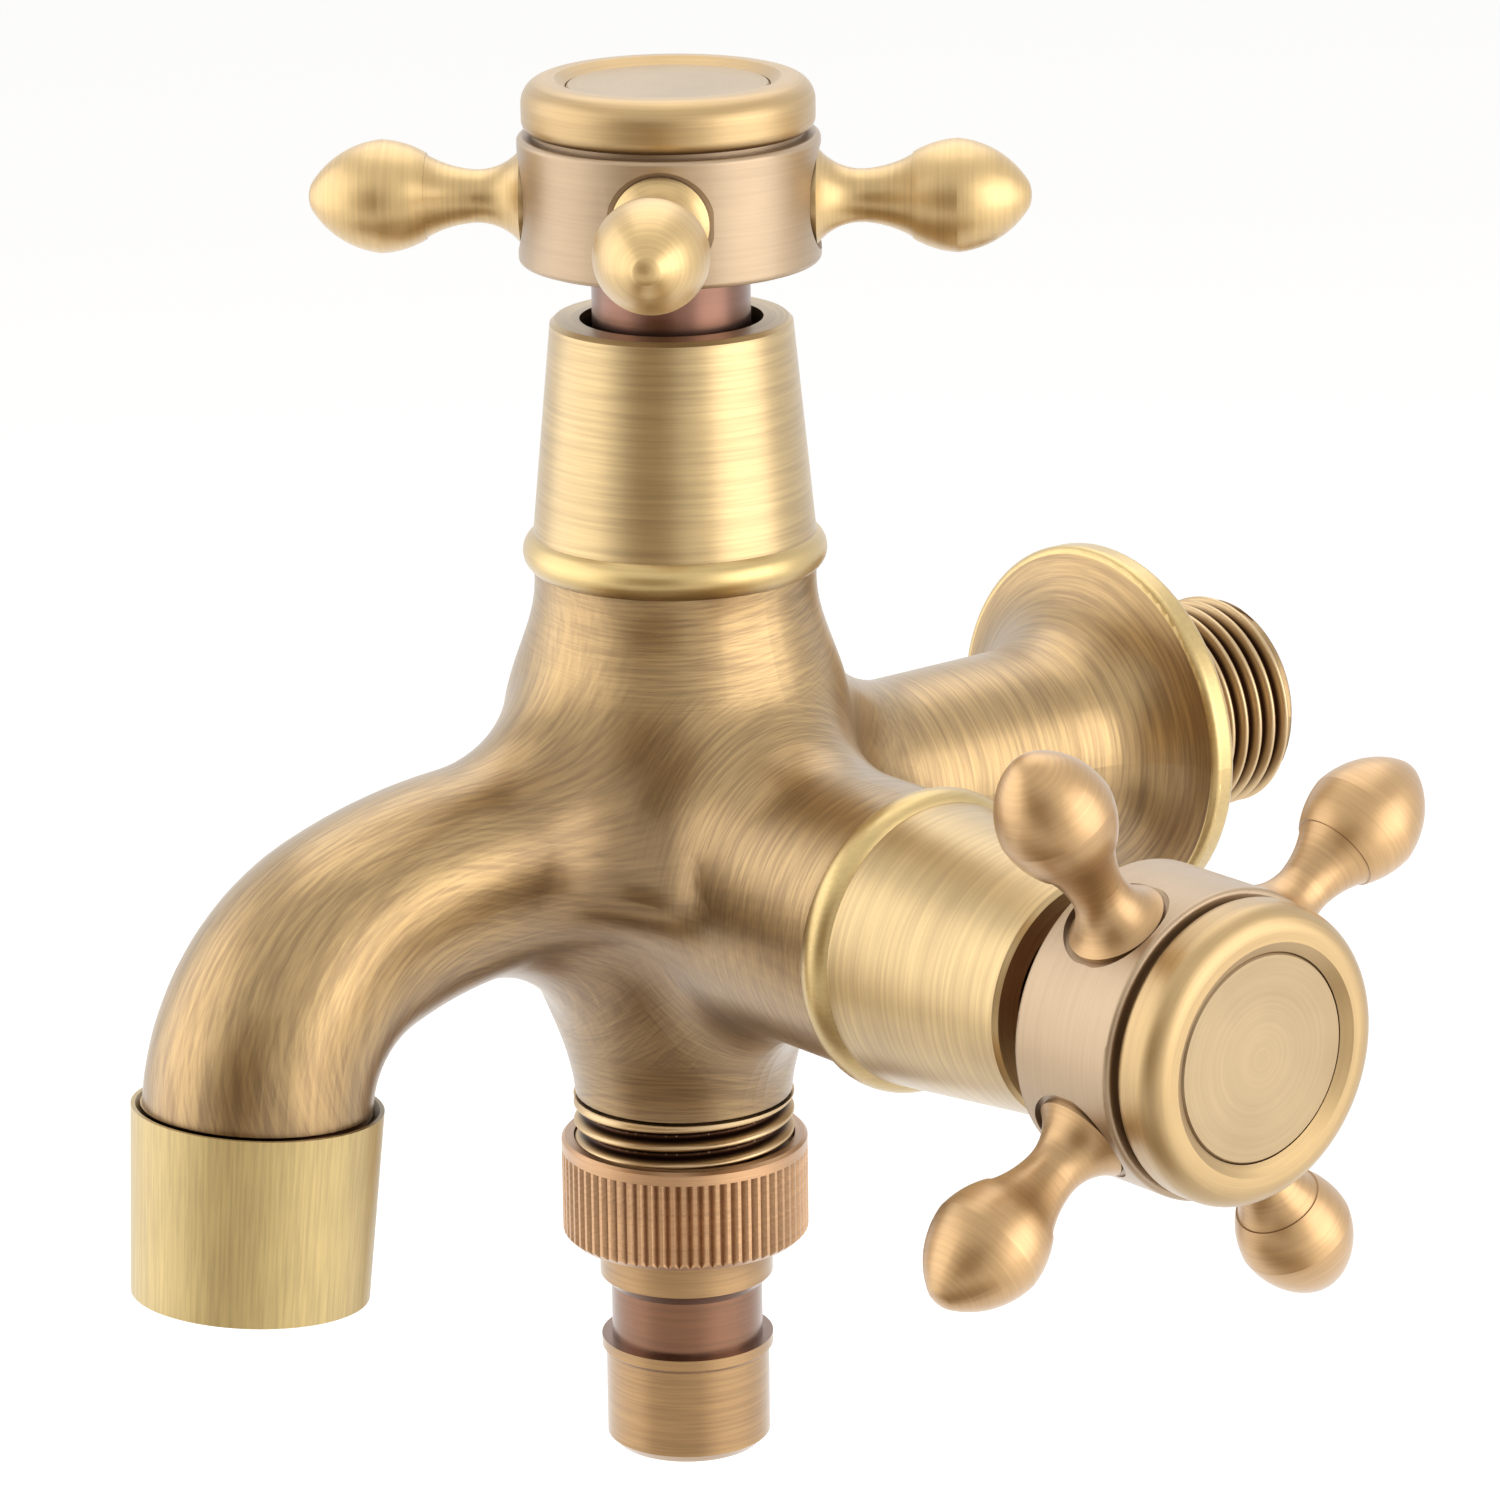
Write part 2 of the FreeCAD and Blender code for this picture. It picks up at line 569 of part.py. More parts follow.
def spindle_ring():
    outer = SPINDLE_BODY_D / 2 + FIT * 0.5
    low = ring_groove() + FIT
    half = SPINDLE_RING_T / 2
    inner = outer - SPINDLE_RING_T + FIT
    middle = (outer + inner) / 2
    return turned([(inner, low + half), (middle, low, outer, low + half),
                   (middle, low + SPINDLE_RING_T, inner, low + half)])


def spindle_clip():
    """Open spring clip that keeps the spindle down in the cartridge."""
    low = CARTRIDGE_TOP + FIT
    clip = ring(CLIP_D / 2, SPINDLE_D / 2, low, low + CLIP_T)
    return clip.cut(Part.makeBox(CLIP_D, 3.0, 3.0, Vector(0, -1.5, low - 1)))


# ---- handle ------------------------------------------------------------------
def arm_height():
    return HUB_FOOT + HUB_H / 2


def web_foot():
    """Underside of the web that the handle screw clamps on the spindle."""
    return arm_height() - 0.5


def spindle_top():
    return web_foot() - 0.4


def screw_seat():
    return web_foot() + HUB_WEB


def screw_tip():
    return screw_seat() - SCREW_LENGTH


def handle_hub():
    """Drum with four arm seats, a boss into the bonnet and a spigot for the cap."""
    r, e = HUB_D / 2, HUB_EDGE_R
    boss = BONNET_TOP_D / 2 - BONNET_LIP - BOSS_GAP
    boss_foot = BONNET_LENGTH - BOSS_DEPTH
    step = r - HUB_GROOVE_DEPTH
    spigot = SPIGOT_TOP_D / 2
    spigot_top = CAP_TOP - CAP_WEB
    bevel = e * 0.29
    hub = turned([
        (0, boss_foot), (boss, boss_foot), (boss, HUB_FOOT), (r - e, HUB_FOOT),
        (r - bevel, HUB_FOOT + bevel, r, HUB_FOOT + e), (r, HUB_TOP - e),
        (r - bevel, HUB_TOP - bevel, r - e, HUB_TOP), (step, HUB_TOP), (step, CAP_FOOT),
        (spigot, CAP_FOOT), (spigot, spigot_top), (0, spigot_top)])
    cuts = [rod(SPINDLE_D / 2 + FIT, boss_foot - 1, web_foot()),
            rod(SCREW_D / 2 + 0.2, web_foot() - 1, screw_seat() + 1),
            rod(SCREW_RECESS_D / 2, screw_seat(), spigot_top + 1)]
    socket = rod(ARM_STUD_D / 2 + FIT, ARM_SEAT - ARM_STUD_LENGTH - 0.3, ARM_SEAT + 1)
    flat = rod(ARM_SEAT_D / 2, ARM_SEAT, r + 1)
    for k in range(4):
        way = Vector(math.cos(math.pi / 2 * k), math.sin(math.pi / 2 * k), 0)
        cuts += [stand(socket, Z * arm_height(), way), stand(flat, Z * arm_height(), way)]
    return tidy(hub.cut(cuts))


def handle_arm():
    """Turned arm: stud, root, waist and a pear-shaped knob; heights run out from the handle's axis."""
    root, waist, knob = ARM_ROOT_D / 2, ARM_WAIST_D / 2, KNOB_D / 2
    shoulder = KNOB_SHOULDER_D / 2
    stud = ARM_STUD_D / 2
    bulge = (KNOB_SHOULDER_AT + KNOB_AT) / 2
    taper = (KNOB_AT + ARM_REACH) / 2
    tip = ARM_REACH
    return turned([
        (0, ARM_SEAT - ARM_STUD_LENGTH), (stud, ARM_SEAT - ARM_STUD_LENGTH), (stud, ARM_SEAT),
        (root, ARM_SEAT), (root, ARM_SEAT + ARM_COLLAR),
        (waist + (root - waist) * 0.22, ARM_SEAT + (ARM_WAIST_AT - ARM_SEAT) * 0.5, waist, ARM_WAIST_AT),
        (waist + (shoulder - waist) * 0.27, (ARM_WAIST_AT + KNOB_SHOULDER_AT) / 2,
         shoulder - KNOB_STEP, KNOB_SHOULDER_AT),
        (shoulder, KNOB_SHOULDER_AT),
        (shoulder + (knob - shoulder) * 0.72, bulge, knob, KNOB_AT),
        (knob * 0.80, taper, KNOB_TIP_R, tip - KNOB_TIP_R * 0.21),
        (KNOB_TIP_R * 0.56, tip - KNOB_TIP_R * 0.06, KNOB_TIP_R * 0.1, tip), (0, tip)])


def handle_arms(turn):
    """The four arms, as placed copies, the first at turn degrees about the handle's axis."""
    arm = handle_arm()
    arms = []
    for k in range(4):
        angle = math.radians(turn + 90 * k)
        arms.append(stand(arm, Z * arm_height(), Vector(math.cos(angle), math.sin(angle), 0)))
    return arms


def handle_cap():
    """Rounded ring that screws over the hub's spigot and frames the index disc."""
    r, e = CAP_D / 2, CAP_EDGE_R
    low_e = e * 0.5
    web_low = CAP_TOP - CAP_WEB
    bore = SPIGOT_TOP_D / 2 + FIT
    hole = INDEX_D / 2 + FIT
    return turned([
        (bore, CAP_FOOT), (r - low_e, CAP_FOOT),
        (r - low_e * 0.29, CAP_FOOT + low_e * 0.29, r, CAP_FOOT + low_e), (r, CAP_TOP - e),
        (r - e * 0.29, CAP_TOP - e * 0.29, r - e, CAP_TOP), (hole + INDEX_BEVEL, CAP_TOP),
        (hole, CAP_TOP - INDEX_BEVEL * 0.7), (hole, web_low), (bore, web_low)])


def index_disc():
    """Plain disc in the cap's opening, with a small edge chamfer."""
    low = CAP_TOP - CAP_WEB
    high = low + INDEX_T
    return turned([(0, low), (INDEX_D / 2, low), (INDEX_D / 2, high - 0.2),
                   (INDEX_D / 2 - 0.2, high), (0, high)])


def handle_screw():
    head_top = screw_seat() + SCREW_HEAD_H
    screw = turned([
        (0, screw_tip()), (SCREW_D / 2, screw_tip()), (SCREW_D / 2, screw_seat()),
        (SCREW_HEAD_D / 2, screw_seat()), (SCREW_HEAD_D / 2, head_top - 0.4),
        (SCREW_HEAD_D / 2 - 0.4, head_top), (0, head_top)])
    return screw.cut(hexagon(3.0, head_top - SCREW_HEAD_H * 0.6, head_top + 1))


# ---- hose coupling, as heights below the hose thread's end -------------------
def nut_heights():
    """Foot and top of the nut, from the end of the hose thread, both along -Z."""
    foot = HOSE_WASHER_T + TAIL_FLANGE_T + NUT_LIP
    return foot - NUT_HEIGHT, foot


def knurl_prism(low, high):
    """Outline with one shallow groove between each pair of teeth, drawn out along the axis."""
    crest, root = NUT_D / 2, NUT_D / 2 - KNURL_DEPTH
    pitch = 2 * math.pi / KNURL_COUNT
    points = []
    for k in range(KNURL_COUNT):
        for share, radius in ((0.0, root), (0.35, crest), (0.65, crest)):
            angle = pitch * (k + share)
            points.append(Vector(radius * math.cos(angle), radius * math.sin(angle), low))
    points.append(points[0])
    return Part.Face(Part.makePolygon(points)).extrude(Z * (high - low))


def coupling_nut():
    """Knurled union nut: plain band at its mouth, knurl below it, inner lip at its foot."""
    mouth, foot = nut_heights()
    r, c = NUT_D / 2, NUT_CHAMFER
    envelope = turned([(0, mouth + NUT_BAND), (r, mouth + NUT_BAND), (r, foot - c), (r - c, foot), (0, foot)])
    band = turned([(0, mouth), (r - 0.3, mouth), (r, mouth + 0.3), (r, mouth + NUT_BAND), (0, mouth + NUT_BAND)])
    body = knurl_prism(mouth + NUT_BAND, foot).common(envelope).fuse(band)
    bore = rod(THREAD_R + FIT, mouth - 1, foot - NUT_LIP)
    hole = rod(TAIL_SHANK_D / 2 + FIT, foot - NUT_LIP - 1, foot + 1)
    return tidy(body.cut([bore, hole]))


def hose_washer():
    return ring(THREAD_R - 0.3, HOSE_BORE_D / 2, 0, HOSE_WASHER_T)


def hose_tail():
    """Push-on tail: flange in the nut, shank, latch groove, ring and plain end."""
    _, nut_foot = nut_heights()
    flange = HOSE_WASHER_T
    shank_end = nut_foot + TAIL_SHANK_END
    groove = shank_end + (TAIL_SHANK_D - TAIL_GROOVE_D) / 2
    ring_top = shank_end + TAIL_GROOVE_LENGTH + 1
    ring_foot = ring_top + TAIL_RING_H
    end = ring_foot + TAIL_LENGTH
    bore, tail = TAIL_BORE_D / 2, TAIL_D / 2
    return turned([
        (bore, flange), (THREAD_R - 0.4, flange), (THREAD_R - 0.4, flange + TAIL_FLANGE_T),
        (TAIL_SHANK_D / 2, flange + TAIL_FLANGE_T), (TAIL_SHANK_D / 2, shank_end),
        (TAIL_GROOVE_D / 2, groove), (TAIL_GROOVE_D / 2, ring_top),
        (TAIL_RING_D / 2, ring_top), (TAIL_RING_D / 2, ring_foot - 0.4), (tail, ring_foot),
        (tail, end - 0.8), (tail - 0.8, end), (bore + 0.4, end), (bore, end - 0.4)])


# ---- assembly ----------------------------------------------------------------
def valve_pieces(name, seat, way, turn):
    """Every piece of one valve and its handle, by node name, placed at its seat."""
    spin = FreeCAD.Rotation(Z, turn)

    def placed(shape):
        turned_about = shape.copy()
        turned_about.Placement = FreeCAD.Placement(Vector(), spin) * turned_about.Placement
        return stand(turned_about, seat, way)

    pieces = {
        "bonnet": bonnet(), "cartridge": cartridge(), "cartridge_gasket": cartridge_gasket(),
        "seat_seal": seat_seal(), "fixed_disc": fixed_disc(), "moving_disc": moving_disc(),
        "spindle": spindle(), "spindle_ring": spindle_ring(), "spindle_clip": spindle_clip(),
        "handle_hub": handle_hub(), "handle_cap": handle_cap(), "index_disc": index_disc(),
        "handle_screw": handle_screw()}
    for k, arm in enumerate(handle_arms(0), 1):
        pieces["handle_arm_%d" % k] = arm
    return {"%s_%s" % (name, piece): placed(shape) for piece, shape in pieces.items()}


def all_pieces():
    _, spout_end, spout_way = spout_line()
    hose_thread_end = AXIS + Z * HOSE_END
    pieces = {"tap_body": tap_body()}
    pieces.update(valve_pieces("upper", UPPER, Z, UPPER_HANDLE_TURN))
    pieces.update(valve_pieces("side", SIDE, X, SIDE_HANDLE_TURN + 90))
    for name, shape in (("outlet_sleeve", outlet_sleeve()), ("outlet_washer", outlet_washer()),
                        ("aerator_core", aerator_core()), ("aerator_screen", aerator_screen())):
        pieces[name] = stand(shape, spout_end, spout_way)
    for name, shape in (("coupling_nut", coupling_nut()), ("hose_washer", hose_washer()),
                        ("hose_tail", hose_tail())):
        pieces[name] = stand(shape, hose_thread_end, -Z)
    return pieces


os.makedirs("parts", exist_ok=True)
for node, piece in all_pieces().items():
    if not piece.isValid() or piece.Volume <= 0:
        raise ValueError("%s did not build as a closed solid" % node)
    piece.exportStep(os.path.join("parts", node + ".step"))
    print("%-26s %2d solid  %9.1f mm3" % (node, len(piece.Solids), piece.Volume))
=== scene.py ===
"""Cross handle tap: the finish of each piece, its pipe threads, and a pale studio to see it in."""

import math

import bmesh
import bpy
from mathutils import Matrix, Vector


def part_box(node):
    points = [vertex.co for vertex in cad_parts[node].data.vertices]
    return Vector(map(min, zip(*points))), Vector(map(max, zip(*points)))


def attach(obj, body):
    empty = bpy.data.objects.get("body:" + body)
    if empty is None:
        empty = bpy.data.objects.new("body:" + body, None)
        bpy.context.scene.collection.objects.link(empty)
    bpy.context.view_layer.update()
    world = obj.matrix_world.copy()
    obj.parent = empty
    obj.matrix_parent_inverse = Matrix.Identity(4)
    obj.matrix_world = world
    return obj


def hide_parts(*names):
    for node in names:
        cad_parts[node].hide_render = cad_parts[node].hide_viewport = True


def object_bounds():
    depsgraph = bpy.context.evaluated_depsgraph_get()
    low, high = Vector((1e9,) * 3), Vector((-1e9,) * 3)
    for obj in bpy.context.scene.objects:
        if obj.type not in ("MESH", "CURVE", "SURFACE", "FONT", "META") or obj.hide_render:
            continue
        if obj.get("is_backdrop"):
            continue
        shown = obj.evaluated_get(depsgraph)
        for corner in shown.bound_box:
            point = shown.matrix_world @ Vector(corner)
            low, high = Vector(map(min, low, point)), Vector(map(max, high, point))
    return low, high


bl_info = {
    "name": "Cross handle tap",
    "version": (1, 0, 0),
    "blender": (4, 5, 0),
    "location": "View3D > Sidebar > Tap",
    "description": "Dresses a wall tap with two cross handles in antique brass",
    "category": "Object",
}

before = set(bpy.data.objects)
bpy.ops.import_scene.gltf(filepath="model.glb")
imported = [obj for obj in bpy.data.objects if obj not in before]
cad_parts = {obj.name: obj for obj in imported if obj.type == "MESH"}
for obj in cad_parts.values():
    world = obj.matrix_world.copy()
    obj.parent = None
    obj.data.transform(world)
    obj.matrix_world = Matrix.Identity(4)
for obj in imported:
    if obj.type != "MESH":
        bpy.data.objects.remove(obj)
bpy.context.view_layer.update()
MM = 0.001

# ---- places, in the row frame, in millimetres ---------------------------------
INLET_REACH = 54.3              # wall face to the body's upright axis
SIDE_DROP = 1.9                 # side valve's axis below the inlet's
UPPER_SEAT = 29.6               # top of the upper bead
SIDE_SEAT = 36.7                # end of the side bead
BEAD_WIDTH = 3.4
BEAD_FOOT_R = 12.9              # under a bead, and clear over it
BEAD_CLEAR_R = 16.0
CREST_R = 20.955 / 2            # half-inch pipe thread over its crests
SPOUT_CREST_R = 10.55
SPOUT_THREAD_DEPTH = 0.6
SPOUT_THREAD_START = 0.02       # just clear of the shoulder it stands against
SPOUT_CHAMFER = 0.65
FLANGE_RIM = 2.5
RIM_INSIDE_R = 17.7             # where the flange's hollow sweep ends
WALL_THREAD_LENGTH = 16.4
HOSE_THREAD_TOP = -25.0
HOSE_THREAD_LENGTH = 9.4
HOSE_SHOULDER = 0.3             # plain root between the casting and the hose thread
HOSE_RUN_OUT = 0.9              # over which the hose thread rises to its full depth
SPIGOT_GAP = 1.0                # threaded end left open in the sleeve's flared mouth
BOSS_R = 7.4                    # handle's boss, in the bonnet's mouth
HUB_FOOT = 25.5                 # above a bonnet's seat
TAIL_INSIDE_R = 5.6             # just outside the hose tail's bore
NECK_TOP = -43.4                # hose tail's neck, above its ring
NECK_FOOT = -49.75
NEAR = 0.05                     # how near a face counts as on a piece's edge
ON_END = 0.01                   # how near a point counts as on a plain thread: past its ends,
ON_CREST = 0.02                 # and off its radius
SPOUT_R = 10.5                  # the spout's tube, and the curve of its middle line
SPOUT_BEND_R = 14.5
SPOUT_BEND_Y = -83.4
SPOUT_BEND_Z = -14.5
# the casting is darkest round this point
DARKEST_MIDDLE = Vector((7.0, -70.0, 0.0))    # between the neck, the spout and the side arm

# Each line is a place on it and its direction.
BODY_AXIS = Vector((0, -INLET_REACH, 0))
UPRIGHT = (BODY_AXIS, Vector((0, 0, 1)))
FOOT = (BODY_AXIS, Vector((0, 0, -1)))
INLET = (Vector((0, 0, 0)), Vector((0, 1, 0)))
SIDE = (BODY_AXIS - Vector((0, 0, SIDE_DROP)), Vector((1, 0, 0)))
OUTLET = (Vector((0, -103.432, -15.216)), Vector((0, -0.08716, -0.99619)))
VALVES = (("upper", UPRIGHT, UPPER_SEAT), ("side", SIDE, SIDE_SEAT))

# ---- spacing of the tools' marks, in millimetres --------------------------------
# Real hairlines and lathe marks lie under 0.1 mm apart. All are drawn coarser here, so that they
# show in a picture of the whole tap.
FINE_LINE = 0.2
HAIRLINE = 0.3
WIDE_LINE = 0.35
BLOTCH = 9.0                    # clouds that uneven hand rubbing leaves in the oxide
SWEEP = (-0.49, -0.59, 0.64)    # the middle of the body was brushed square to this
SLANT = (0.2, -0.24, 0.28)      # lean of the second set of strokes over the first


# ---- colours and lengths --------------------------------------------------------
def linear(hex_colour):
    """Scene-linear red, green and blue of an sRGB hex colour."""
    channels = [int(hex_colour[i:i + 2], 16) / 255 for i in (1, 3, 5)]
    return tuple(c / 12.92 if c <= 0.04045 else ((c + 0.055) / 1.055) ** 2.4 for c in channels)


def colour(name, description, hex_colour):
    """A colour that a user can change."""
    return bpy.props.FloatVectorProperty(
        name=name, description=description, default=linear(hex_colour),
        subtype="COLOR", size=3, min=0.0, max=1.0)


def length(name, description, millimetres):
    """A length that a user can change."""
    return bpy.props.FloatProperty(
        name=name, description=description, default=millimetres * MM,
        subtype="DISTANCE", unit="LENGTH", min=0.0)


def angle(name, description, degrees):
    """An angle that a user can change."""
    return bpy.props.FloatProperty(
        name=name, description=description, default=math.radians(degrees), subtype="ANGLE")


class TapFinish(bpy.types.PropertyGroup):
    """Colours of the tap's metals and small parts."""

    body: colour("Body", "Brushed antique brass of the casting", "#B89864")
    # the patina colour is both oxide and the painted shade laid in hollows and on under faces
    oxide_and_shade: colour("Patina", "Brown oxide left in the hollows", "#583B22")
    polished: colour("Polished brass", "Beads and flange rim", "#D3B778")
    bonnet: colour("Bonnet", "Turned antique brass of both bonnets", "#CCB07B")
    hub: colour("Handle hub", "Pinkish antique brass", "#B69D7D")
    arm: colour("Upper arms", "Satin antique brass of the upper arms and knobs", "#D6B67B")
    side_arm: colour("Side arms", "Warmer satin brass of the side arms and knobs", "#C69F6B")
    cap: colour("Handle cap", "Turned ring over the hub", "#BFA06C")
    index: colour("Index disc", "Pale spun disc", "#B1986F")
    sleeve: colour("Outlet sleeve", "Greener brass, brushed along", "#D1B97B")
    nut: colour("Knurled nut", "Reddish brass of the nut", "#CC9E70")
    tail: colour("Hose tail", "Yellower turned brass of the tail", "#B38C5A")
    # the tail neck's colour is red oxide with painted shade
    tail_neck: colour("Tail neck", "Dark reddish brass of the tail's neck", "#87593A")
    stem: colour("Stem", "Reddish machined brass", "#8C5C4A")
    crest: colour("Thread crest", "Rubbed brass on a thread's crests", "#C9AE86")
    # the groove colour is dark oxide with painted shade at the thread's root
    groove: colour("Thread groove", "Dark oxide between a thread's crests", "#402A1E")
    nitrile: colour("Nitrile", "Black rubber of the washers and seals", "#222222")
    acetal: colour("Acetal", "Pale plastic of the aerator", "#C9CAC6")
    alumina: colour("Alumina", "Ivory ceramic of the valve discs", "#ECE8DF")
    steel: colour("Stainless steel", "Screws and spring clips", "#B9BBBD")


class TapThread(bpy.types.PropertyGroup):
    """The half-inch parallel pipe thread."""

    pitch: length("Pitch", "From one crest to the next, 14 to the inch", 1.814)
    depth: length("Depth", "From crest to root", 1.16)


class TapStage(bpy.types.PropertyGroup):
    """The camera and the studio."""

    turn: angle("Turn", "Camera's way round the tap, from the front", 50.530)
    rise: angle("Rise", "Camera's height above the level", 16.429)
    roll: angle("Roll", "Camera's lean", -0.738)
    distance: length("Distance", "From the camera to its aim", 604.46)
    lens: bpy.props.FloatProperty(
        name="Lens", description="Focal length, in camera millimetres", default=157.281, min=1.0)
    floor: colour("Floor", "Pale studio floor", "#E4E3E1")
    flag: colour("Flag", "Brown card beside the camera", "#9C8468")


# ---- shader helpers -------------------------------------------------------------
def add(tree, kind, inputs=(), **settings):
    """Adds a node with its settings and links.

    inputs is a list for its first sockets, or pairs each socket's name or number with what goes
    in: a value, a socket, or a node whose first output is meant.
    """
    node = tree.nodes.new(kind)
    for name, value in settings.items():
        setattr(node, name, value)
    pairs = inputs.items() if isinstance(inputs, dict) else enumerate(inputs)
    for key, value in pairs:
        if isinstance(value, bpy.types.Node):
            value = value.outputs[0]
        if isinstance(value, bpy.types.NodeSocket):
            tree.links.new(value, node.inputs[key])
        else:
            node.inputs[key].default_value = value
    return node


def blank(name):
    """A new material with no nodes yet."""
    material = bpy.data.materials.new(name)
    material.use_nodes = True
    material.node_tree.nodes.clear()
    return material, material.node_tree


def diagonal(tree, across, along):
    """Length of the diagonal of two lengths."""
    corner = add(tree, "ShaderNodeCombineXYZ", (across, along))
    return add(tree, "ShaderNodeVectorMath", (corner,), operation="LENGTH").outputs["Value"]


def on_line(tree, line):
    """Where the surface is from a line: across it two ways, along it, and away from it."""
    place, way = line
    local = add(tree, "ShaderNodeMapping", {
        "Vector": add(tree, "ShaderNodeTexCoord").outputs["Object"], "Location": place * MM,
        "Rotation": way.to_track_quat("Z", "Y").to_euler()}, vector_type="TEXTURE")
    x, y, height = add(tree, "ShaderNodeSeparateXYZ", (local,)).outputs
    return x, y, height, diagonal(tree, x, y)


def passing(tree, place, start, end):
    """Soft change from 0 to 1 as a place passes from start to end, in millimetres."""
    return add(tree, "ShaderNodeMapRange", {
        "Value": place, "From Min": start * MM, "From Max": end * MM},
        interpolation_type="SMOOTHSTEP")


def spread(tree, noise):
    """Noise keeps near its middle, and this takes it over the whole way from 0 to 1."""
    return add(tree, "ShaderNodeMapRange", {
        "Value": noise, "From Min": 0.3, "From Max": 0.7}, interpolation_type="SMOOTHSTEP")


# ---- marks of the tools ---------------------------------------------------------
def turned_lines(tree, line, spacing, reach):
    """Lathe marks round a line, 0 to 1: how far apart and how long they are, in millimetres."""
    x, y, height, radius = on_line(tree, line)
    fine, slow = 1 / (spacing * MM), 1 / (reach * MM)
    *grain, turn = [
        add(tree, "ShaderNodeMath", pair, operation="MULTIPLY")
        for pair in ((radius, fine), (height, fine), (x, slow), (y, slow))]
    return add(tree, "ShaderNodeTexNoise", {
        "Vector": add(tree, "ShaderNodeCombineXYZ", grain), "W": turn,
        "Scale": 1.0, "Detail": 3.0, "Roughness": 0.6}, noise_dimensions="4D")


def lathe(line, spacing, reach):
    """The marks of a piece turned round a line, for its finish to draw."""
    return lambda tree: turned_lines(tree, line, spacing, reach)


def brushed_lines(tree, way, spacing, reach):
    """Straight hairlines along a direction, 0 to 1."""
    local = add(tree, "ShaderNodeMapping", {
        "Vector": add(tree, "ShaderNodeTexCoord").outputs["Object"],
        "Rotation": way.to_track_quat("Z", "Y").to_euler()}, vector_type="TEXTURE")
    fine, slow = 1 / (spacing * MM), 1 / (reach * MM)
    grain = add(tree, "ShaderNodeVectorMath", (local, (fine, fine, slow)), operation="MULTIPLY")
    return add(tree, "ShaderNodeTexNoise", {
        "Vector": grain, "Scale": 1.0, "Detail": 3.0, "Roughness": 0.6})


def hairlines(tree, across, reach):
    """Hand-brushed lines, 0 to 1: half hold one measure steady, and half slant over them."""
    where = add(tree, "ShaderNodeTexCoord").outputs["Object"]
    drift = add(tree, "ShaderNodeVectorMath", {
        0: where, "Scale": 1 / (reach * MM)}, operation="SCALE")
    lean = add(tree, "ShaderNodeVectorMath", (where, SLANT), operation="DOT_PRODUCT")
    slanted = add(tree, "ShaderNodeMath", (across, lean.outputs["Value"]), operation="ADD")
    strokes = []
    for place in (across, slanted):
        step = add(tree, "ShaderNodeMath", (place, 1 / (HAIRLINE * MM)), operation="MULTIPLY")
        strokes.append(add(tree, "ShaderNodeTexNoise", {
            "Vector": drift, "W": step, "Scale": 1.0, "Detail": 3.0, "Roughness": 0.6},
            noise_dimensions="4D"))
    both = add(tree, "ShaderNodeMath", strokes, operation="ADD")
    # the mean of two sets is flatter than one, so it is stretched by half about its middle
    return add(tree, "ShaderNodeMath", (both, 0.75, -0.25), operation="MULTIPLY_ADD")


def ringed_lines(tree, line, reach):
    """Hairlines round an arm that flares into the body."""
    _, _, height, radius = on_line(tree, line)
    across = add(tree, "ShaderNodeMath", (height, radius), operation="SUBTRACT")
    return hairlines(tree, across, reach)


def swept_lines(tree, way, reach):
    """Hairlines swept over the body, square to a direction."""
    where = add(tree, "ShaderNodeTexCoord").outputs["Object"]
    across = add(tree, "ShaderNodeVectorMath", (where, way), operation="DOT_PRODUCT")
    return hairlines(tree, across.outputs["Value"], reach)


def spout_lines(tree, reach):
    """Hairlines along the spout, which hold their place round it from the body to its end."""
    where = add(tree, "ShaderNodeTexCoord").outputs["Object"]
    x, y, z = add(tree, "ShaderNodeSeparateXYZ", (where,)).outputs
    past_bend = add(tree, "ShaderNodeMath", (y, SPOUT_BEND_Y * MM), operation="SUBTRACT")
    over_bend = add(tree, "ShaderNodeMath", (z, SPOUT_BEND_Z * MM), operation="SUBTRACT")
    beyond = add(tree, "ShaderNodeMath", (past_bend, 0.0), operation="MINIMUM")
    above = add(tree, "ShaderNodeMath", (over_bend, 0.0), operation="MAXIMUM")
    off_middle = add(tree, "ShaderNodeMath", (
        diagonal(tree, beyond, above), SPOUT_BEND_R * MM), operation="SUBTRACT")
    turn = add(tree, "ShaderNodeMath", (x, off_middle), operation="ARCTAN2")
    round_tube = add(tree, "ShaderNodeMath", (turn, SPOUT_R * MM), operation="MULTIPLY")
    return hairlines(tree, round_tube, reach)


def blotches(tree, size):
    """Slow cloudy change over a length in millimetres, 0 to 1."""
    where = add(tree, "ShaderNodeTexCoord").outputs["Object"]
    return add(tree, "ShaderNodeTexNoise", {
        "Vector": where, "Scale": 1 / (size * MM), "Detail": 2.0})


# ---- finishes -------------------------------------------------------------------
LACQUER_ROUGHNESS = 0.35
CLOUD_SHARE = 0.2               # how much of the rubbing is cloudy, the rest being even


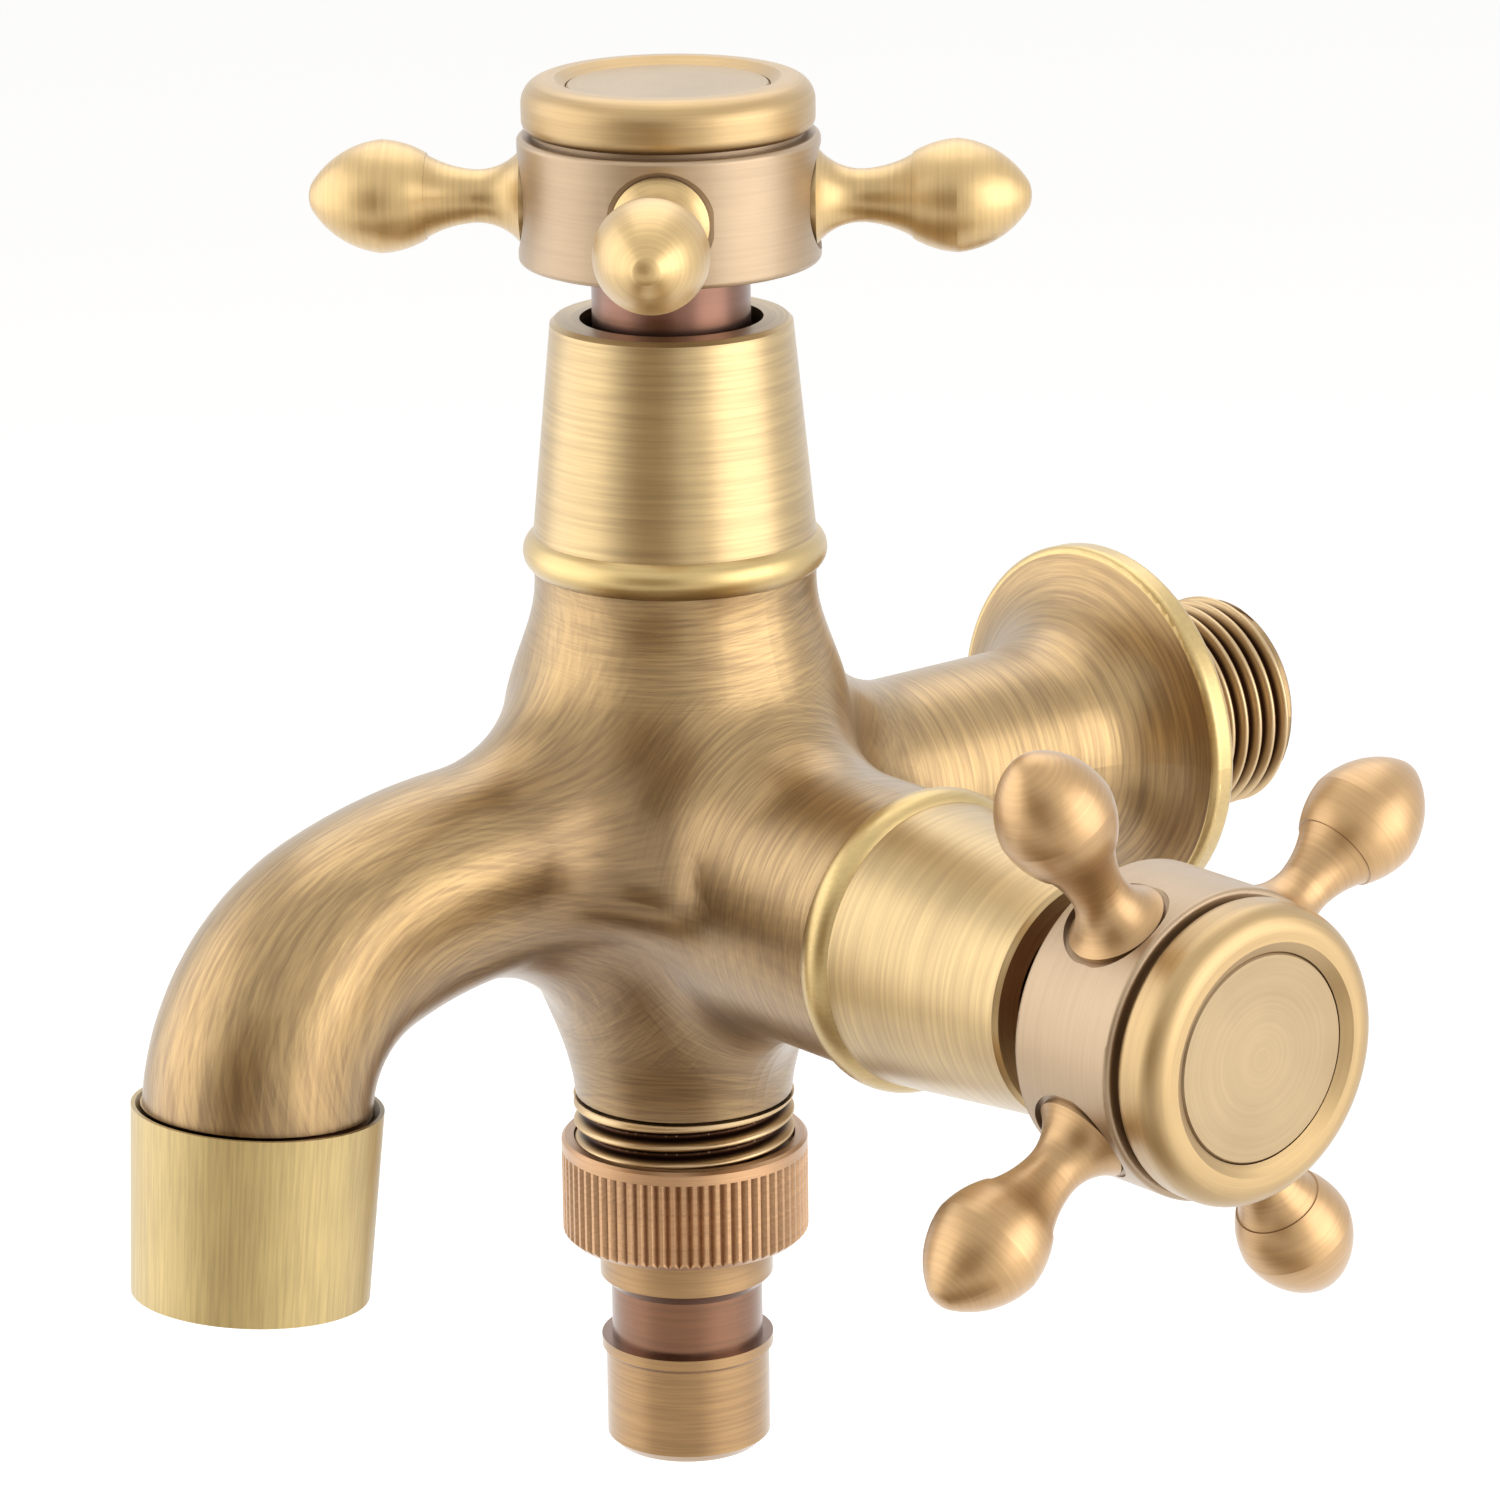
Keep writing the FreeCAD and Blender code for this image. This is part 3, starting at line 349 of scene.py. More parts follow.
def antique_brass(name, base, oxide_and_shade, lines, roughness=0.38, line_depth=0.008, oxide_and_shade_share=0.75,
                  contrast=0.35, under=0.3, hollow_size=5.0, darkening=None):
    """Brass with a brown oxide, brushed back on the open faces and clear lacquered.

    The eye sees hairlines that stretch each highlight, brown oxide and painted shade in hollows,
    painted shade on under faces, and a soft lacquer shine. lines draws the tool's marks, line_depth
    millimetres deep, and contrast is how much of the colour's change they make. The share of brown
    is the most of it, oxide and painted shade, that shows; under is how much painted shade an under
    face gets, and hollow_size is how wide a hollow is darkened, in millimetres. The darkening, if
    given, darkens the colour where it draws.
    """
    material, tree = blank(name)
    grain = lines(tree)
    # hollows darken towards the brown: partly oxide, partly painted shade from ambient occlusion
    hollow = add(tree, "ShaderNodeAmbientOcclusion", {"Distance": hollow_size * MM}, samples=6)
    open_face = add(tree, "ShaderNodeMapRange", {
        "Value": hollow.outputs["AO"], "From Min": 0.4, "From Max": 0.97},
        interpolation_type="SMOOTHSTEP")
    # faces that turn down darken towards the brown: painted shade
    facing = add(tree, "ShaderNodeNewGeometry").outputs["Normal"]
    top_face = add(tree, "ShaderNodeMapRange", {
        "Value": add(tree, "ShaderNodeSeparateXYZ", (facing,)).outputs["Z"],
        "From Min": -0.6, "From Max": 0.3}, interpolation_type="SMOOTHSTEP")
    lit_face = add(tree, "ShaderNodeMath", (top_face, under, 1.0 - under), operation="MULTIPLY_ADD")
    open_and_lit = add(tree, "ShaderNodeMath", (open_face, lit_face), operation="MULTIPLY")
    evenly = add(tree, "ShaderNodeMath", (open_and_lit, 1.0 - CLOUD_SHARE), operation="MULTIPLY")
    cloud = spread(tree, blotches(tree, BLOTCH))
    rubbed_and_lit = add(tree, "ShaderNodeMath", (cloud, CLOUD_SHARE, evenly), operation="MULTIPLY_ADD")
    between = add(tree, "ShaderNodeMath", (rubbed_and_lit, 1.0 - contrast), operation="MULTIPLY")
    bright = add(tree, "ShaderNodeMath", (
        spread(tree, grain), contrast, between), operation="MULTIPLY_ADD")
    if darkening:
        bright = add(tree, "ShaderNodeMath", (bright, darkening(tree)), operation="MULTIPLY")
    share = add(tree, "ShaderNodeMath", (
        bright, oxide_and_shade_share, 1.0 - oxide_and_shade_share), operation="MULTIPLY_ADD")
    tone = add(tree, "ShaderNodeMix", {0: share, 6: (*oxide_and_shade, 1.0), 7: (*base, 1.0)},
               data_type="RGBA").outputs[2]
    bump = add(tree, "ShaderNodeBump", {
        "Height": grain, "Distance": line_depth * MM, "Strength": 1.0})
    shader = add(tree, "ShaderNodeBsdfPrincipled", {
        "Base Color": tone, "Metallic": 1.0, "Roughness": roughness,
        "Coat Weight": 1.0, "Coat Roughness": LACQUER_ROUGHNESS,
        "Normal": bump})
    add(tree, "ShaderNodeOutputMaterial", (shader,))
    return material


def thread_brass(name, line, crest, depth, finish):
    """Machined brass thread: bright scuffed crests, with dark oxide, joint paste and painted shade
    between them.

    crest is the radius over the crests and depth how far the grooves go in, in millimetres.
    """
    material, tree = blank(name)
    radius = on_line(tree, line)[3]
    # darker towards the root: oxide and painted shade in the grooves
    share = passing(tree, radius, crest - depth * 0.75, crest - depth * 0.1)
    tone = add(tree, "ShaderNodeMix", {
        0: share, 6: (*finish.groove, 1.0), 7: (*finish.crest, 1.0)}, data_type="RGBA").outputs[2]
    bump = add(tree, "ShaderNodeBump", {
        "Height": turned_lines(tree, line, FINE_LINE, 8.0), "Distance": 0.004 * MM,
        "Strength": 1.0})
    shader = add(tree, "ShaderNodeBsdfPrincipled", {
        "Base Color": tone, "Metallic": 1.0, "Roughness": 0.36, "Normal": bump})
    add(tree, "ShaderNodeOutputMaterial", (shader,))
    return material


def even_finish(name, base, metallic, roughness, grain_size):
    """A moulded, lapped or fine turned surface: the eye sees one colour with a faint soft grain."""
    material, tree = blank(name)
    grain = blotches(tree, grain_size)
    dark = tuple(c * 0.86 for c in base)
    tone = add(tree, "ShaderNodeMix", {
        0: spread(tree, grain), 6: (*dark, 1.0), 7: (*base, 1.0)}, data_type="RGBA").outputs[2]
    bump = add(tree, "ShaderNodeBump", {"Height": grain, "Distance": 0.01 * MM, "Strength": 0.5})
    shader = add(tree, "ShaderNodeBsdfPrincipled", {
        "Base Color": tone, "Metallic": metallic, "Roughness": roughness, "Normal": bump})
    add(tree, "ShaderNodeOutputMaterial", (shader,))
    return material


def moulded_nitrile(pieces, finish):
    """Black rubber, dull and a little dusty."""
    return even_finish(f"Moulded nitrile {pieces}", finish.nitrile, 0.0, 0.6, 0.4)


def dress(node, *materials):
    """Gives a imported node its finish."""
    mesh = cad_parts[node].data
    mesh.materials.clear()
    for material in materials:
        mesh.materials.append(material)


def from_axis(point, line):
    """Distance from a line and height along it, in millimetres, of a point in metres."""
    place, way = line
    offset = Vector(point) / MM - place
    height = offset.dot(way)
    return (offset - way * height).length, height


# ---- casting --------------------------------------------------------------------
def casting_lines(tree):
    """The casting's brushing: swept over the middle, round each arm, and along the spout."""
    where = add(tree, "ShaderNodeTexCoord").outputs["Object"]
    x, y, z = add(tree, "ShaderNodeSeparateXYZ", (where,)).outputs
    downward = add(tree, "ShaderNodeMath", (z, -1.0), operation="MULTIPLY")
    forward = add(tree, "ShaderNodeMath", (y, -1.0), operation="MULTIPLY")
    grain = swept_lines(tree, SWEEP, 6.0)
    # each row: the measure along which a brushing takes over, from where to where, and its lines
    for place, start, end, lines in (
            (x, 5.0, 14.0, ringed_lines(tree, SIDE, 6.0)),
            (z, 14.0, 19.0, ringed_lines(tree, UPRIGHT, 7.0)),
            (downward, 17.0, 21.0, ringed_lines(tree, FOOT, 7.0)),
            (y, 15.0 - INLET_REACH, 22.0 - INLET_REACH, turned_lines(tree, INLET, WIDE_LINE, 9.0)),
            (forward, INLET_REACH + 10.0, INLET_REACH + 17.0, spout_lines(tree, 6.0))):
        share = passing(tree, place, start, end)
        grain = add(tree, "ShaderNodeMix", {0: share, 2: grain, 3: lines}, data_type="FLOAT")
    return grain


def darkened_middle_and_foot(tree):
    """Darkens the casting: to half round the point where its arms meet, and with painted shade to
    seven tenths towards its foot.
    """
    where = add(tree, "ShaderNodeTexCoord").outputs["Object"]
    z = add(tree, "ShaderNodeSeparateXYZ", (where,)).outputs["Z"]
    away = add(tree, "ShaderNodeVectorMath", (where, DARKEST_MIDDLE * MM), operation="DISTANCE")
    outward = passing(tree, away.outputs["Value"], 6.0, 18.0)
    upward = passing(tree, z, -22.0, -4.0)
    middle = add(tree, "ShaderNodeMath", (outward, 0.5, 0.5), operation="MULTIPLY_ADD")
    below = add(tree, "ShaderNodeMath", (upward, 0.3, 0.7), operation="MULTIPLY_ADD")
    return add(tree, "ShaderNodeMath", (middle, below), operation="MULTIPLY")


def draw_in(mesh, line, low, high, radius):
    """Moves the plain thread's surface in to the root, where the cut thread covers it."""
    place, way = line
    for vertex in mesh.vertices:
        away, height = from_axis(vertex.co, line)
        if low - ON_END < height < high + ON_END and abs(away - CREST_R) < ON_CREST:
            foot = place + way * height
            vertex.co = (foot + (Vector(vertex.co) / MM - foot) * radius / away) * MM


def in_bead(point, line, seat):
    """Whether a point is on the bead that ends at a seat."""
    away, height = from_axis(point, line)
    return seat - BEAD_WIDTH - NEAR < height < seat + NEAR and BEAD_FOOT_R < away < BEAD_CLEAR_R


def is_polished(mesh, polygon):
    """Whether a face is on one of the beads or on the flange's rim."""
    _, height = from_axis(polygon.center, INLET)
    inside_r = min(from_axis(mesh.vertices[v].co, INLET)[0] for v in polygon.vertices)
    on_rim = -FLANGE_RIM * 1.2 < height < NEAR and inside_r > RIM_INSIDE_R
    return on_rim or any(in_bead(polygon.center, line, seat) for _, line, seat in VALVES)


class TAP_OT_casting(bpy.types.Operator):
    """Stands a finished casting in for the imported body, with its plain threads drawn in"""

    bl_idname = "tap.casting"
    bl_label = "Dress the casting"

    def execute(self, context):
        finish, thread = context.scene.tap_finish, context.scene.tap_thread
        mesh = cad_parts["tap_body"].data.copy()
        root = CREST_R - thread.depth / MM
        draw_in(mesh, INLET, 0.0, WALL_THREAD_LENGTH, root)
        draw_in(mesh, UPRIGHT, HOSE_THREAD_TOP - HOSE_THREAD_LENGTH, HOSE_THREAD_TOP, root)
        mesh.materials.clear()
        # brushed by hand: soft long highlights broken by strokes, brown oxide and painted shade in
        # the hollows, darker where the arms meet, and painted shade towards the foot
        mesh.materials.append(antique_brass(
            "Brushed antique brass casting", finish.body, finish.oxide_and_shade, casting_lines,
            roughness=0.37, line_depth=0.019, oxide_and_shade_share=0.85, contrast=0.55, under=0.75,
            hollow_size=14.0, darkening=darkened_middle_and_foot))
        # standing proud of the rest and rubbed clean: narrow yellow lines of light
        mesh.materials.append(antique_brass(
            "Polished brass beads and rim", finish.polished, finish.oxide_and_shade,
            lathe(UPRIGHT, HAIRLINE, 12.0), roughness=0.38, contrast=0.15))
        for polygon in mesh.polygons:
            polygon.material_index = int(is_polished(mesh, polygon))
        casting = bpy.data.objects.new("casting", mesh)
        context.scene.collection.objects.link(casting)
        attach(casting, "tap")
        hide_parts("tap_body")
        return {"FINISHED"}


# ---- threads --------------------------------------------------------------------
RINGS_PER_PITCH = 14
STEPS_ROUND = 96
SLEEVE_WALL = 0.15              # of the cut thread, under its root
FLANK_STEEPNESS = 1.15          # over 1, so that crest and root each keep a little flat
SHARP_EDGE = 50                 # degrees


def thread_dip(phase, depth):
    """How far under its crests the rounded thread lies, 0 or less, at a phase of 0 to 1."""
    slope = abs(2 * phase - 1)
    flank = min(1.0, max(0.0, slope * FLANK_STEEPNESS - (FLANK_STEEPNESS - 1) / 2))
    return depth * (0.5 - 0.5 * math.cos(math.pi * flank) - 1.0)


def cut_thread(name, line, start, end, crest, depth, pitch, chamfer, run_out, material):
    """A closed sleeve with a helical thread on it, from height start to end along a line.

    The thread fades in over its run-out from the start, and a chamfer takes it down at the end.
    Lengths are in millimetres.
    """
    place, way = line
    side = way.orthogonal().normalized()
    other = way.cross(side)
    spokes = [side * math.cos(2 * math.pi * step / STEPS_ROUND)
              + other * math.sin(2 * math.pi * step / STEPS_ROUND) for step in range(STEPS_ROUND)]
    rows = max(4, round(abs(end - start) / pitch * RINGS_PER_PITCH))
    sign = 1 if end > start else -1
    build = bmesh.new()
    rings = []
    for row in range(rows + 1):
        height = start + (end - start) * row / rows
        run = abs(height - start)
        left = abs(end - height)
        fade = min(1.0, run / run_out) if run_out else 1.0
        limit = crest - depth * (1 - left / chamfer) if left < chamfer else crest
        ring = []
        for step, spoke in enumerate(spokes):
            phase = (run / pitch - sign * step / STEPS_ROUND) % 1.0
            radius = min(crest + thread_dip(phase, depth) * fade, limit)
            ring.append(build.verts.new((place + way * height + spoke * radius) * MM))
        rings.append(ring)
    inner = crest - depth - SLEEVE_WALL
    for height in (end, start):
        rings.append([build.verts.new((place + way * height + spoke * inner) * MM)
                      for spoke in spokes])
    for lower, upper in zip(rings, rings[1:] + rings[:1]):
        for step in range(STEPS_ROUND):
            after = (step + 1) % STEPS_ROUND
            face = build.faces.new((lower[step], lower[after], upper[after], upper[step]))
            face.smooth = True
    bmesh.ops.recalc_face_normals(build, faces=build.faces)
    mesh = bpy.data.meshes.new(name)
    build.to_mesh(mesh)
    build.free()
    mesh.set_sharp_from_angle(angle=math.radians(SHARP_EDGE))
    mesh.materials.append(material)
    thread = bpy.data.objects.new(name, mesh)
    bpy.context.scene.collection.objects.link(thread)
    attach(thread, "tap")


class TAP_OT_threads(bpy.types.Operator):
    """Cuts the pipe threads of the wall inlet, the hose outlet and the spout's end"""

    bl_idname = "tap.threads"
    bl_label = "Cut the threads"

    def execute(self, context):
        finish, thread = context.scene.tap_finish, context.scene.tap_thread
        pitch, depth = thread.pitch / MM, thread.depth / MM
        cut_thread("inlet_thread", INLET, 0.0, WALL_THREAD_LENGTH,
                   CREST_R, depth, pitch, depth, 0.0,
                   thread_brass("Machined brass inlet thread", INLET, CREST_R, depth, finish))
        cut_thread("hose_thread", UPRIGHT, HOSE_THREAD_TOP - HOSE_SHOULDER,
                   HOSE_THREAD_TOP - HOSE_THREAD_LENGTH,
                   CREST_R, depth, pitch, depth, HOSE_RUN_OUT,
                   thread_brass("Machined brass hose thread", UPRIGHT, CREST_R, depth, finish))
        cut_thread("spout_thread", OUTLET, SPOUT_THREAD_START, SPIGOT_GAP, SPOUT_CREST_R,
                   SPOUT_THREAD_DEPTH, pitch, SPOUT_CHAMFER, 0.0,
                   thread_brass("Machined brass spout thread", OUTLET, SPOUT_CREST_R,
                                SPOUT_THREAD_DEPTH, finish))
        return {"FINISHED"}


# ---- bonnets and handles ----------------------------------------------------------
class TAP_OT_bonnets(bpy.types.Operator):
    """Finishes both bonnets with lines turned round their axes"""

    bl_idname = "tap.bonnets"
    bl_label = "Finish the bonnets"

    def execute(self, context):
        finish = context.scene.tap_finish
        for name, line, _ in VALVES:
            # turned on a lathe: upright bands of light, crossed by level rings
            dress(name + "_bonnet", antique_brass(
                f"Turned antique brass {name} bonnet", finish.bonnet, finish.oxide_and_shade,
                lathe(line, WIDE_LINE, 14.0)))
        return {"FINISHED"}


def dress_hub(name, line, seat, finish):
    """Finishes a hub, and apart from it the boss that shows in the bonnet's mouth."""
    marks = lathe(line, HAIRLINE, 12.0)
    # satin and pinkish: broad highlights with little brown; the boss: darker, redder and shinier
    dress(name + "_handle_hub", antique_brass(
        f"Brushed antique brass {name} hub", finish.hub, finish.oxide_and_shade, marks,
        roughness=0.48, contrast=0.2, oxide_and_shade_share=0.5), antique_brass(
        f"Machined reddish brass {name} boss", finish.stem, finish.oxide_and_shade, marks,
        roughness=0.34, contrast=0.3))
    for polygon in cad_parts[name + "_handle_hub"].data.polygons:
        away, height = from_axis(polygon.center, line)
        polygon.material_index = int(away < BOSS_R and height < seat + HUB_FOOT - NEAR)


def dress_arms(name, line, metal, finish):
    """Finishes four arms, each with rings turned round its own length."""
    for number in range(1, 5):
        node = f"{name}_handle_arm_{number}"
        low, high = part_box(node)
        middle = (low + high) / 2 / MM
        outward = middle - line[0]
        outward -= line[1] * outward.dot(line[1])
        # satin: a round soft light on each knob, and fine rings over it
        dress(node, antique_brass(
            f"Polished antique brass {name} arm {number}", metal, finish.oxide_and_shade,
            lathe((middle, outward.normalized()), HAIRLINE, 8.0),
            roughness=0.42, contrast=0.2, under=0.1))


class TAP_OT_handles(bpy.types.Operator):
    """Finishes both cross handles: hub, four arms, cap and index disc"""

    bl_idname = "tap.handles"
    bl_label = "Finish the handles"

    def execute(self, context):
        finish = context.scene.tap_finish
        metals = {"upper": finish.arm, "side": finish.side_arm}
        for name, line, seat in VALVES:
            marks = lathe(line, HAIRLINE, 12.0)
            dress_hub(name, line, seat, finish)
            # turned and satin: a soft bright band round its rolled edge
            dress(name + "_handle_cap", antique_brass(
                f"Turned antique brass {name} cap", finish.cap, finish.oxide_and_shade, marks,
                roughness=0.45, contrast=0.25, oxide_and_shade_share=0.5))
            # spun: faint rings round its middle, and no lettering
            dress(name + "_index_disc", antique_brass(
                f"Spun brass {name} index disc", finish.index, finish.oxide_and_shade, marks,
                roughness=0.45, contrast=0.15))
            dress_arms(name, line, metals[name], finish)
        return {"FINISHED"}


# ---- outlet, hose connector and valves ----------------------------------------------
class TAP_OT_outlet(bpy.types.Operator):
    """Finishes the outlet sleeve and what it holds"""

    bl_idname = "tap.outlet"
    bl_label = "Finish the outlet"

    def execute(self, context):
        finish = context.scene.tap_finish
        # brushed along its length: dull, greenish, with long upright lines
        dress("outlet_sleeve", antique_brass(
            "Brushed antique brass sleeve", finish.sleeve, finish.oxide_and_shade,
            lambda tree: brushed_lines(tree, OUTLET[1], HAIRLINE, 30.0),
            roughness=0.58, contrast=0.3))
        # injection moulded: pale, with a low even sheen
        plastic = even_finish("Moulded acetal aerator", finish.acetal, 0.0, 0.45, 0.6)
        dress("aerator_core", plastic)
        dress("aerator_screen", plastic)
        dress("outlet_washer", moulded_nitrile("outlet washer", finish))
        return {"FINISHED"}


class TAP_OT_connector(bpy.types.Operator):
    """Finishes the knurled nut, the hose tail and its washer"""

    bl_idname = "tap.connector"
    bl_label = "Finish the hose connector"

    def execute(self, context):
        finish = context.scene.tap_finish
        marks = lathe(UPRIGHT, HAIRLINE, 12.0)
        # knurled: bright ribs with oxide and painted shade between them
        dress("coupling_nut", antique_brass(
            "Knurled reddish brass nut", finish.nut, finish.oxide_and_shade, marks))
        # turned and shinier than the rest; its neck is darker and redder: red oxide with painted
        # shade
        dress("hose_tail", antique_brass(
            "Turned brass hose tail", finish.tail, finish.oxide_and_shade, marks,
            roughness=0.28, contrast=0.4, under=0.6), antique_brass(
            "Oxidised reddish brass tail neck with painted shade", finish.tail_neck, finish.oxide_and_shade, marks,
            roughness=0.28, contrast=0.45, under=0.6))
        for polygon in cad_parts["hose_tail"].data.polygons:
            away, height = from_axis(polygon.center, UPRIGHT)
            polygon.material_index = int(NECK_FOOT < height < NECK_TOP and away > TAIL_INSIDE_R)
        dress("hose_washer", moulded_nitrile("hose washer", finish))
        return {"FINISHED"}


class TAP_OT_valves(bpy.types.Operator):
    """Finishes the cartridges and what they hold"""

    bl_idname = "tap.valves"
    bl_label = "Finish the valves"

    def execute(self, context):
        finish = context.scene.tap_finish
        rubber = moulded_nitrile("valve seals", finish)
        # lapped flat: ivory, with a clear gloss
        ceramic = even_finish("Lapped alumina valve discs", finish.alumina, 0.0, 0.2, 0.3)
        # bar turned: cool grey, with a bright soft light
        steel = even_finish("Turned stainless steel fixings", finish.steel, 1.0, 0.3, 0.5)
        shared = {
            "cartridge_gasket": rubber, "seat_seal": rubber, "spindle_ring": rubber,
            "fixed_disc": ceramic, "moving_disc": ceramic,
            "spindle_clip": steel, "handle_screw": steel}
        for name, line, _ in VALVES:
            for piece in ("cartridge", "spindle"):
                # machined: reddish, with close rings
                dress(f"{name}_{piece}", antique_brass(
                    f"Machined reddish brass {name} {piece}", finish.stem, finish.oxide_and_shade,
                    lathe(line, HAIRLINE, 9.0), contrast=0.3))
            for piece, material in shared.items():
                dress(f"{name}_{piece}", material)
        return {"FINISHED"}


# ---- stage ------------------------------------------------------------------------
AIM = Vector((9.846, -53.746, 10.326))
FLOOR_GAP = 240.0               # the tap hangs on a wall, well above the studio floor
FLOOR_HALF = 20.0               # half the floor's side, in metres
FLOOR_LIFT = 0.5                # glow that makes the floor's own pale colour show as white
SKY_LIGHT = 0.6                 # strength of the pale studio on the tap, and where it is seen
SKY_SEEN = 1.0
# name, degrees round from the camera, rise in degrees, distance, width and height in metres, watts
LAMPS = (
    ("Right softbox", 62, 9, 0.80, 0.80, 0.72, 4.0),
    ("Left softbox", -90, 12, 0.80, 1.00, 0.92, 3.4),
    ("Overhead softbox", 180, 62, 0.85, 0.80, 0.90, 2.5),
)
# The brown cards: the first stands beside the camera, the second lies on the floor before it.
FLAG_TURN = -20                 # degrees round from the camera
CAMERA_FLAG_RISE = 3            # degrees
CAMERA_FLAG_AWAY = 0.95         # metres from the aim
CAMERA_FLAG_SIZE = (0.80, 0.70)
FLOOR_FLAG_AWAY = 0.27
FLOOR_FLAG_SIZE = (0.60, 0.30)
FLOOR_FLAG_LIFT = 5             # millimetres over the floor


def around_aim(turn, rise, away):
    """A point round the aim: turn from the front towards +X, rise above the level."""
    level = math.cos(rise)
    way = Vector((math.sin(turn) * level, -math.cos(turn) * level, math.sin(rise)))
    return AIM * MM + way * away


def to_aim(place):
    """The turn that points a lamp or a card at the aim."""
    return (AIM * MM - place).to_track_quat("-Z", "Y").to_euler()


def seen_rays(tree):
    """1 for what the camera sees, also in the metal's reflections, and 0 for light on the tap."""
    rays = add(tree, "ShaderNodeLightPath").outputs
    bent = add(tree, "ShaderNodeMath", (
        rays["Is Glossy Ray"], rays["Is Transmission Ray"]), operation="MAXIMUM")
    return add(tree, "ShaderNodeMath", (rays["Is Camera Ray"], bent), operation="MAXIMUM")


def flat_sheet(name, width, depth, material):
    """A single flat face, for the stage."""
    build = bmesh.new()
    bmesh.ops.create_grid(build, x_segments=1, y_segments=1, size=0.5)
    bmesh.ops.scale(build, vec=(width, depth, 1), verts=build.verts)
    mesh = bpy.data.meshes.new(name)
    build.to_mesh(mesh)
    build.free()
    mesh.materials.append(material)
    sheet = bpy.data.objects.new(name, mesh)
    bpy.context.scene.collection.objects.link(sheet)
    return sheet


def add_floor(stage, height):
    """A pale painted floor: white to the camera, and grey under the tap's shadow."""
    pale, tree = blank("Pale painted floor")
    lit = add(tree, "ShaderNodeBsdfDiffuse", {"Color": (*stage.floor, 1.0)})
    glow = add(tree, "ShaderNodeMath", (seen_rays(tree), FLOOR_LIFT), operation="MULTIPLY")
    lift = add(tree, "ShaderNodeEmission", {"Strength": glow})
    both = add(tree, "ShaderNodeAddShader", (lit, lift))
    add(tree, "ShaderNodeOutputMaterial", (both,))
    floor = flat_sheet("floor", 2 * FLOOR_HALF, 2 * FLOOR_HALF, pale)
    floor.location.z = height
    floor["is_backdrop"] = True


def add_sky(scene):
    """An even white studio, which lights the tap less than it shows."""
    sky = bpy.data.worlds.new("Pale studio")
    sky.use_nodes = True
    tree = sky.node_tree
    tree.nodes.clear()
    strength = add(tree, "ShaderNodeMath", (
        seen_rays(tree), SKY_SEEN - SKY_LIGHT, SKY_LIGHT), operation="MULTIPLY_ADD")
    light = add(tree, "ShaderNodeBackground", {"Color": (1, 1, 1, 1), "Strength": strength})
    add(tree, "ShaderNodeOutputWorld", (light,))
    scene.world = sky


def add_lamps(scene, stage):
    """The softboxes, placed round the camera's way."""
    for name, turn, rise, away, width, height, watts in LAMPS:
        lamp = bpy.data.lights.new(name, "AREA")
        lamp.shape = "RECTANGLE"
        lamp.size = width
        lamp.size_y = height
        lamp.energy = watts
        holder = bpy.data.objects.new(name, lamp)
        holder.location = around_aim(stage.turn + math.radians(turn), math.radians(rise), away)
        holder.rotation_euler = to_aim(holder.location)
        holder.visible_camera = False
        scene.collection.objects.link(holder)


def add_flags(stage, floor_height):
    """Brown cards that only the shiny brass sees, for the dark bands in its highlights."""
    flannel, tree = blank("Brown flannel flag")
    shader = add(tree, "ShaderNodeBsdfDiffuse", {"Color": (*stage.flag, 1.0)})
    add(tree, "ShaderNodeOutputMaterial", (shader,))
    way = stage.turn + math.radians(FLAG_TURN)
    upright = flat_sheet("camera_flag", *CAMERA_FLAG_SIZE, flannel)
    upright.location = around_aim(way, math.radians(CAMERA_FLAG_RISE), CAMERA_FLAG_AWAY)
    upright.rotation_euler = to_aim(upright.location)
    lying = flat_sheet("floor_flag", *FLOOR_FLAG_SIZE, flannel)
    lying.location = around_aim(way, 0.0, FLOOR_FLAG_AWAY)
    lying.location.z = floor_height + FLOOR_FLAG_LIFT * MM
    lying.rotation_euler = (0, 0, way)
    for sheet in (upright, lying):
        sheet.visible_camera = False
        sheet.visible_diffuse = False
        sheet.visible_shadow = False
        sheet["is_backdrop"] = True


def add_camera(scene, stage):
    """The camera, with its small lean."""
    eye = around_aim(stage.turn, stage.rise, stage.distance)
    back = (eye - AIM * MM).normalized()
    right = Vector((math.cos(stage.turn), math.sin(stage.turn), 0))
    up = back.cross(right)
    lean_right = right * math.cos(stage.roll) + up * math.sin(stage.roll)
    lean_up = up * math.cos(stage.roll) - right * math.sin(stage.roll)
    data = bpy.data.cameras.new("Camera")
    data.lens = stage.lens
    data.clip_start = 0.05
    camera = bpy.data.objects.new("Camera", data)
    turned = Matrix((lean_right, lean_up, back)).transposed().to_4x4()
    camera.matrix_world = Matrix.Translation(eye) @ turned
    scene.collection.objects.link(camera)
    scene.camera = camera


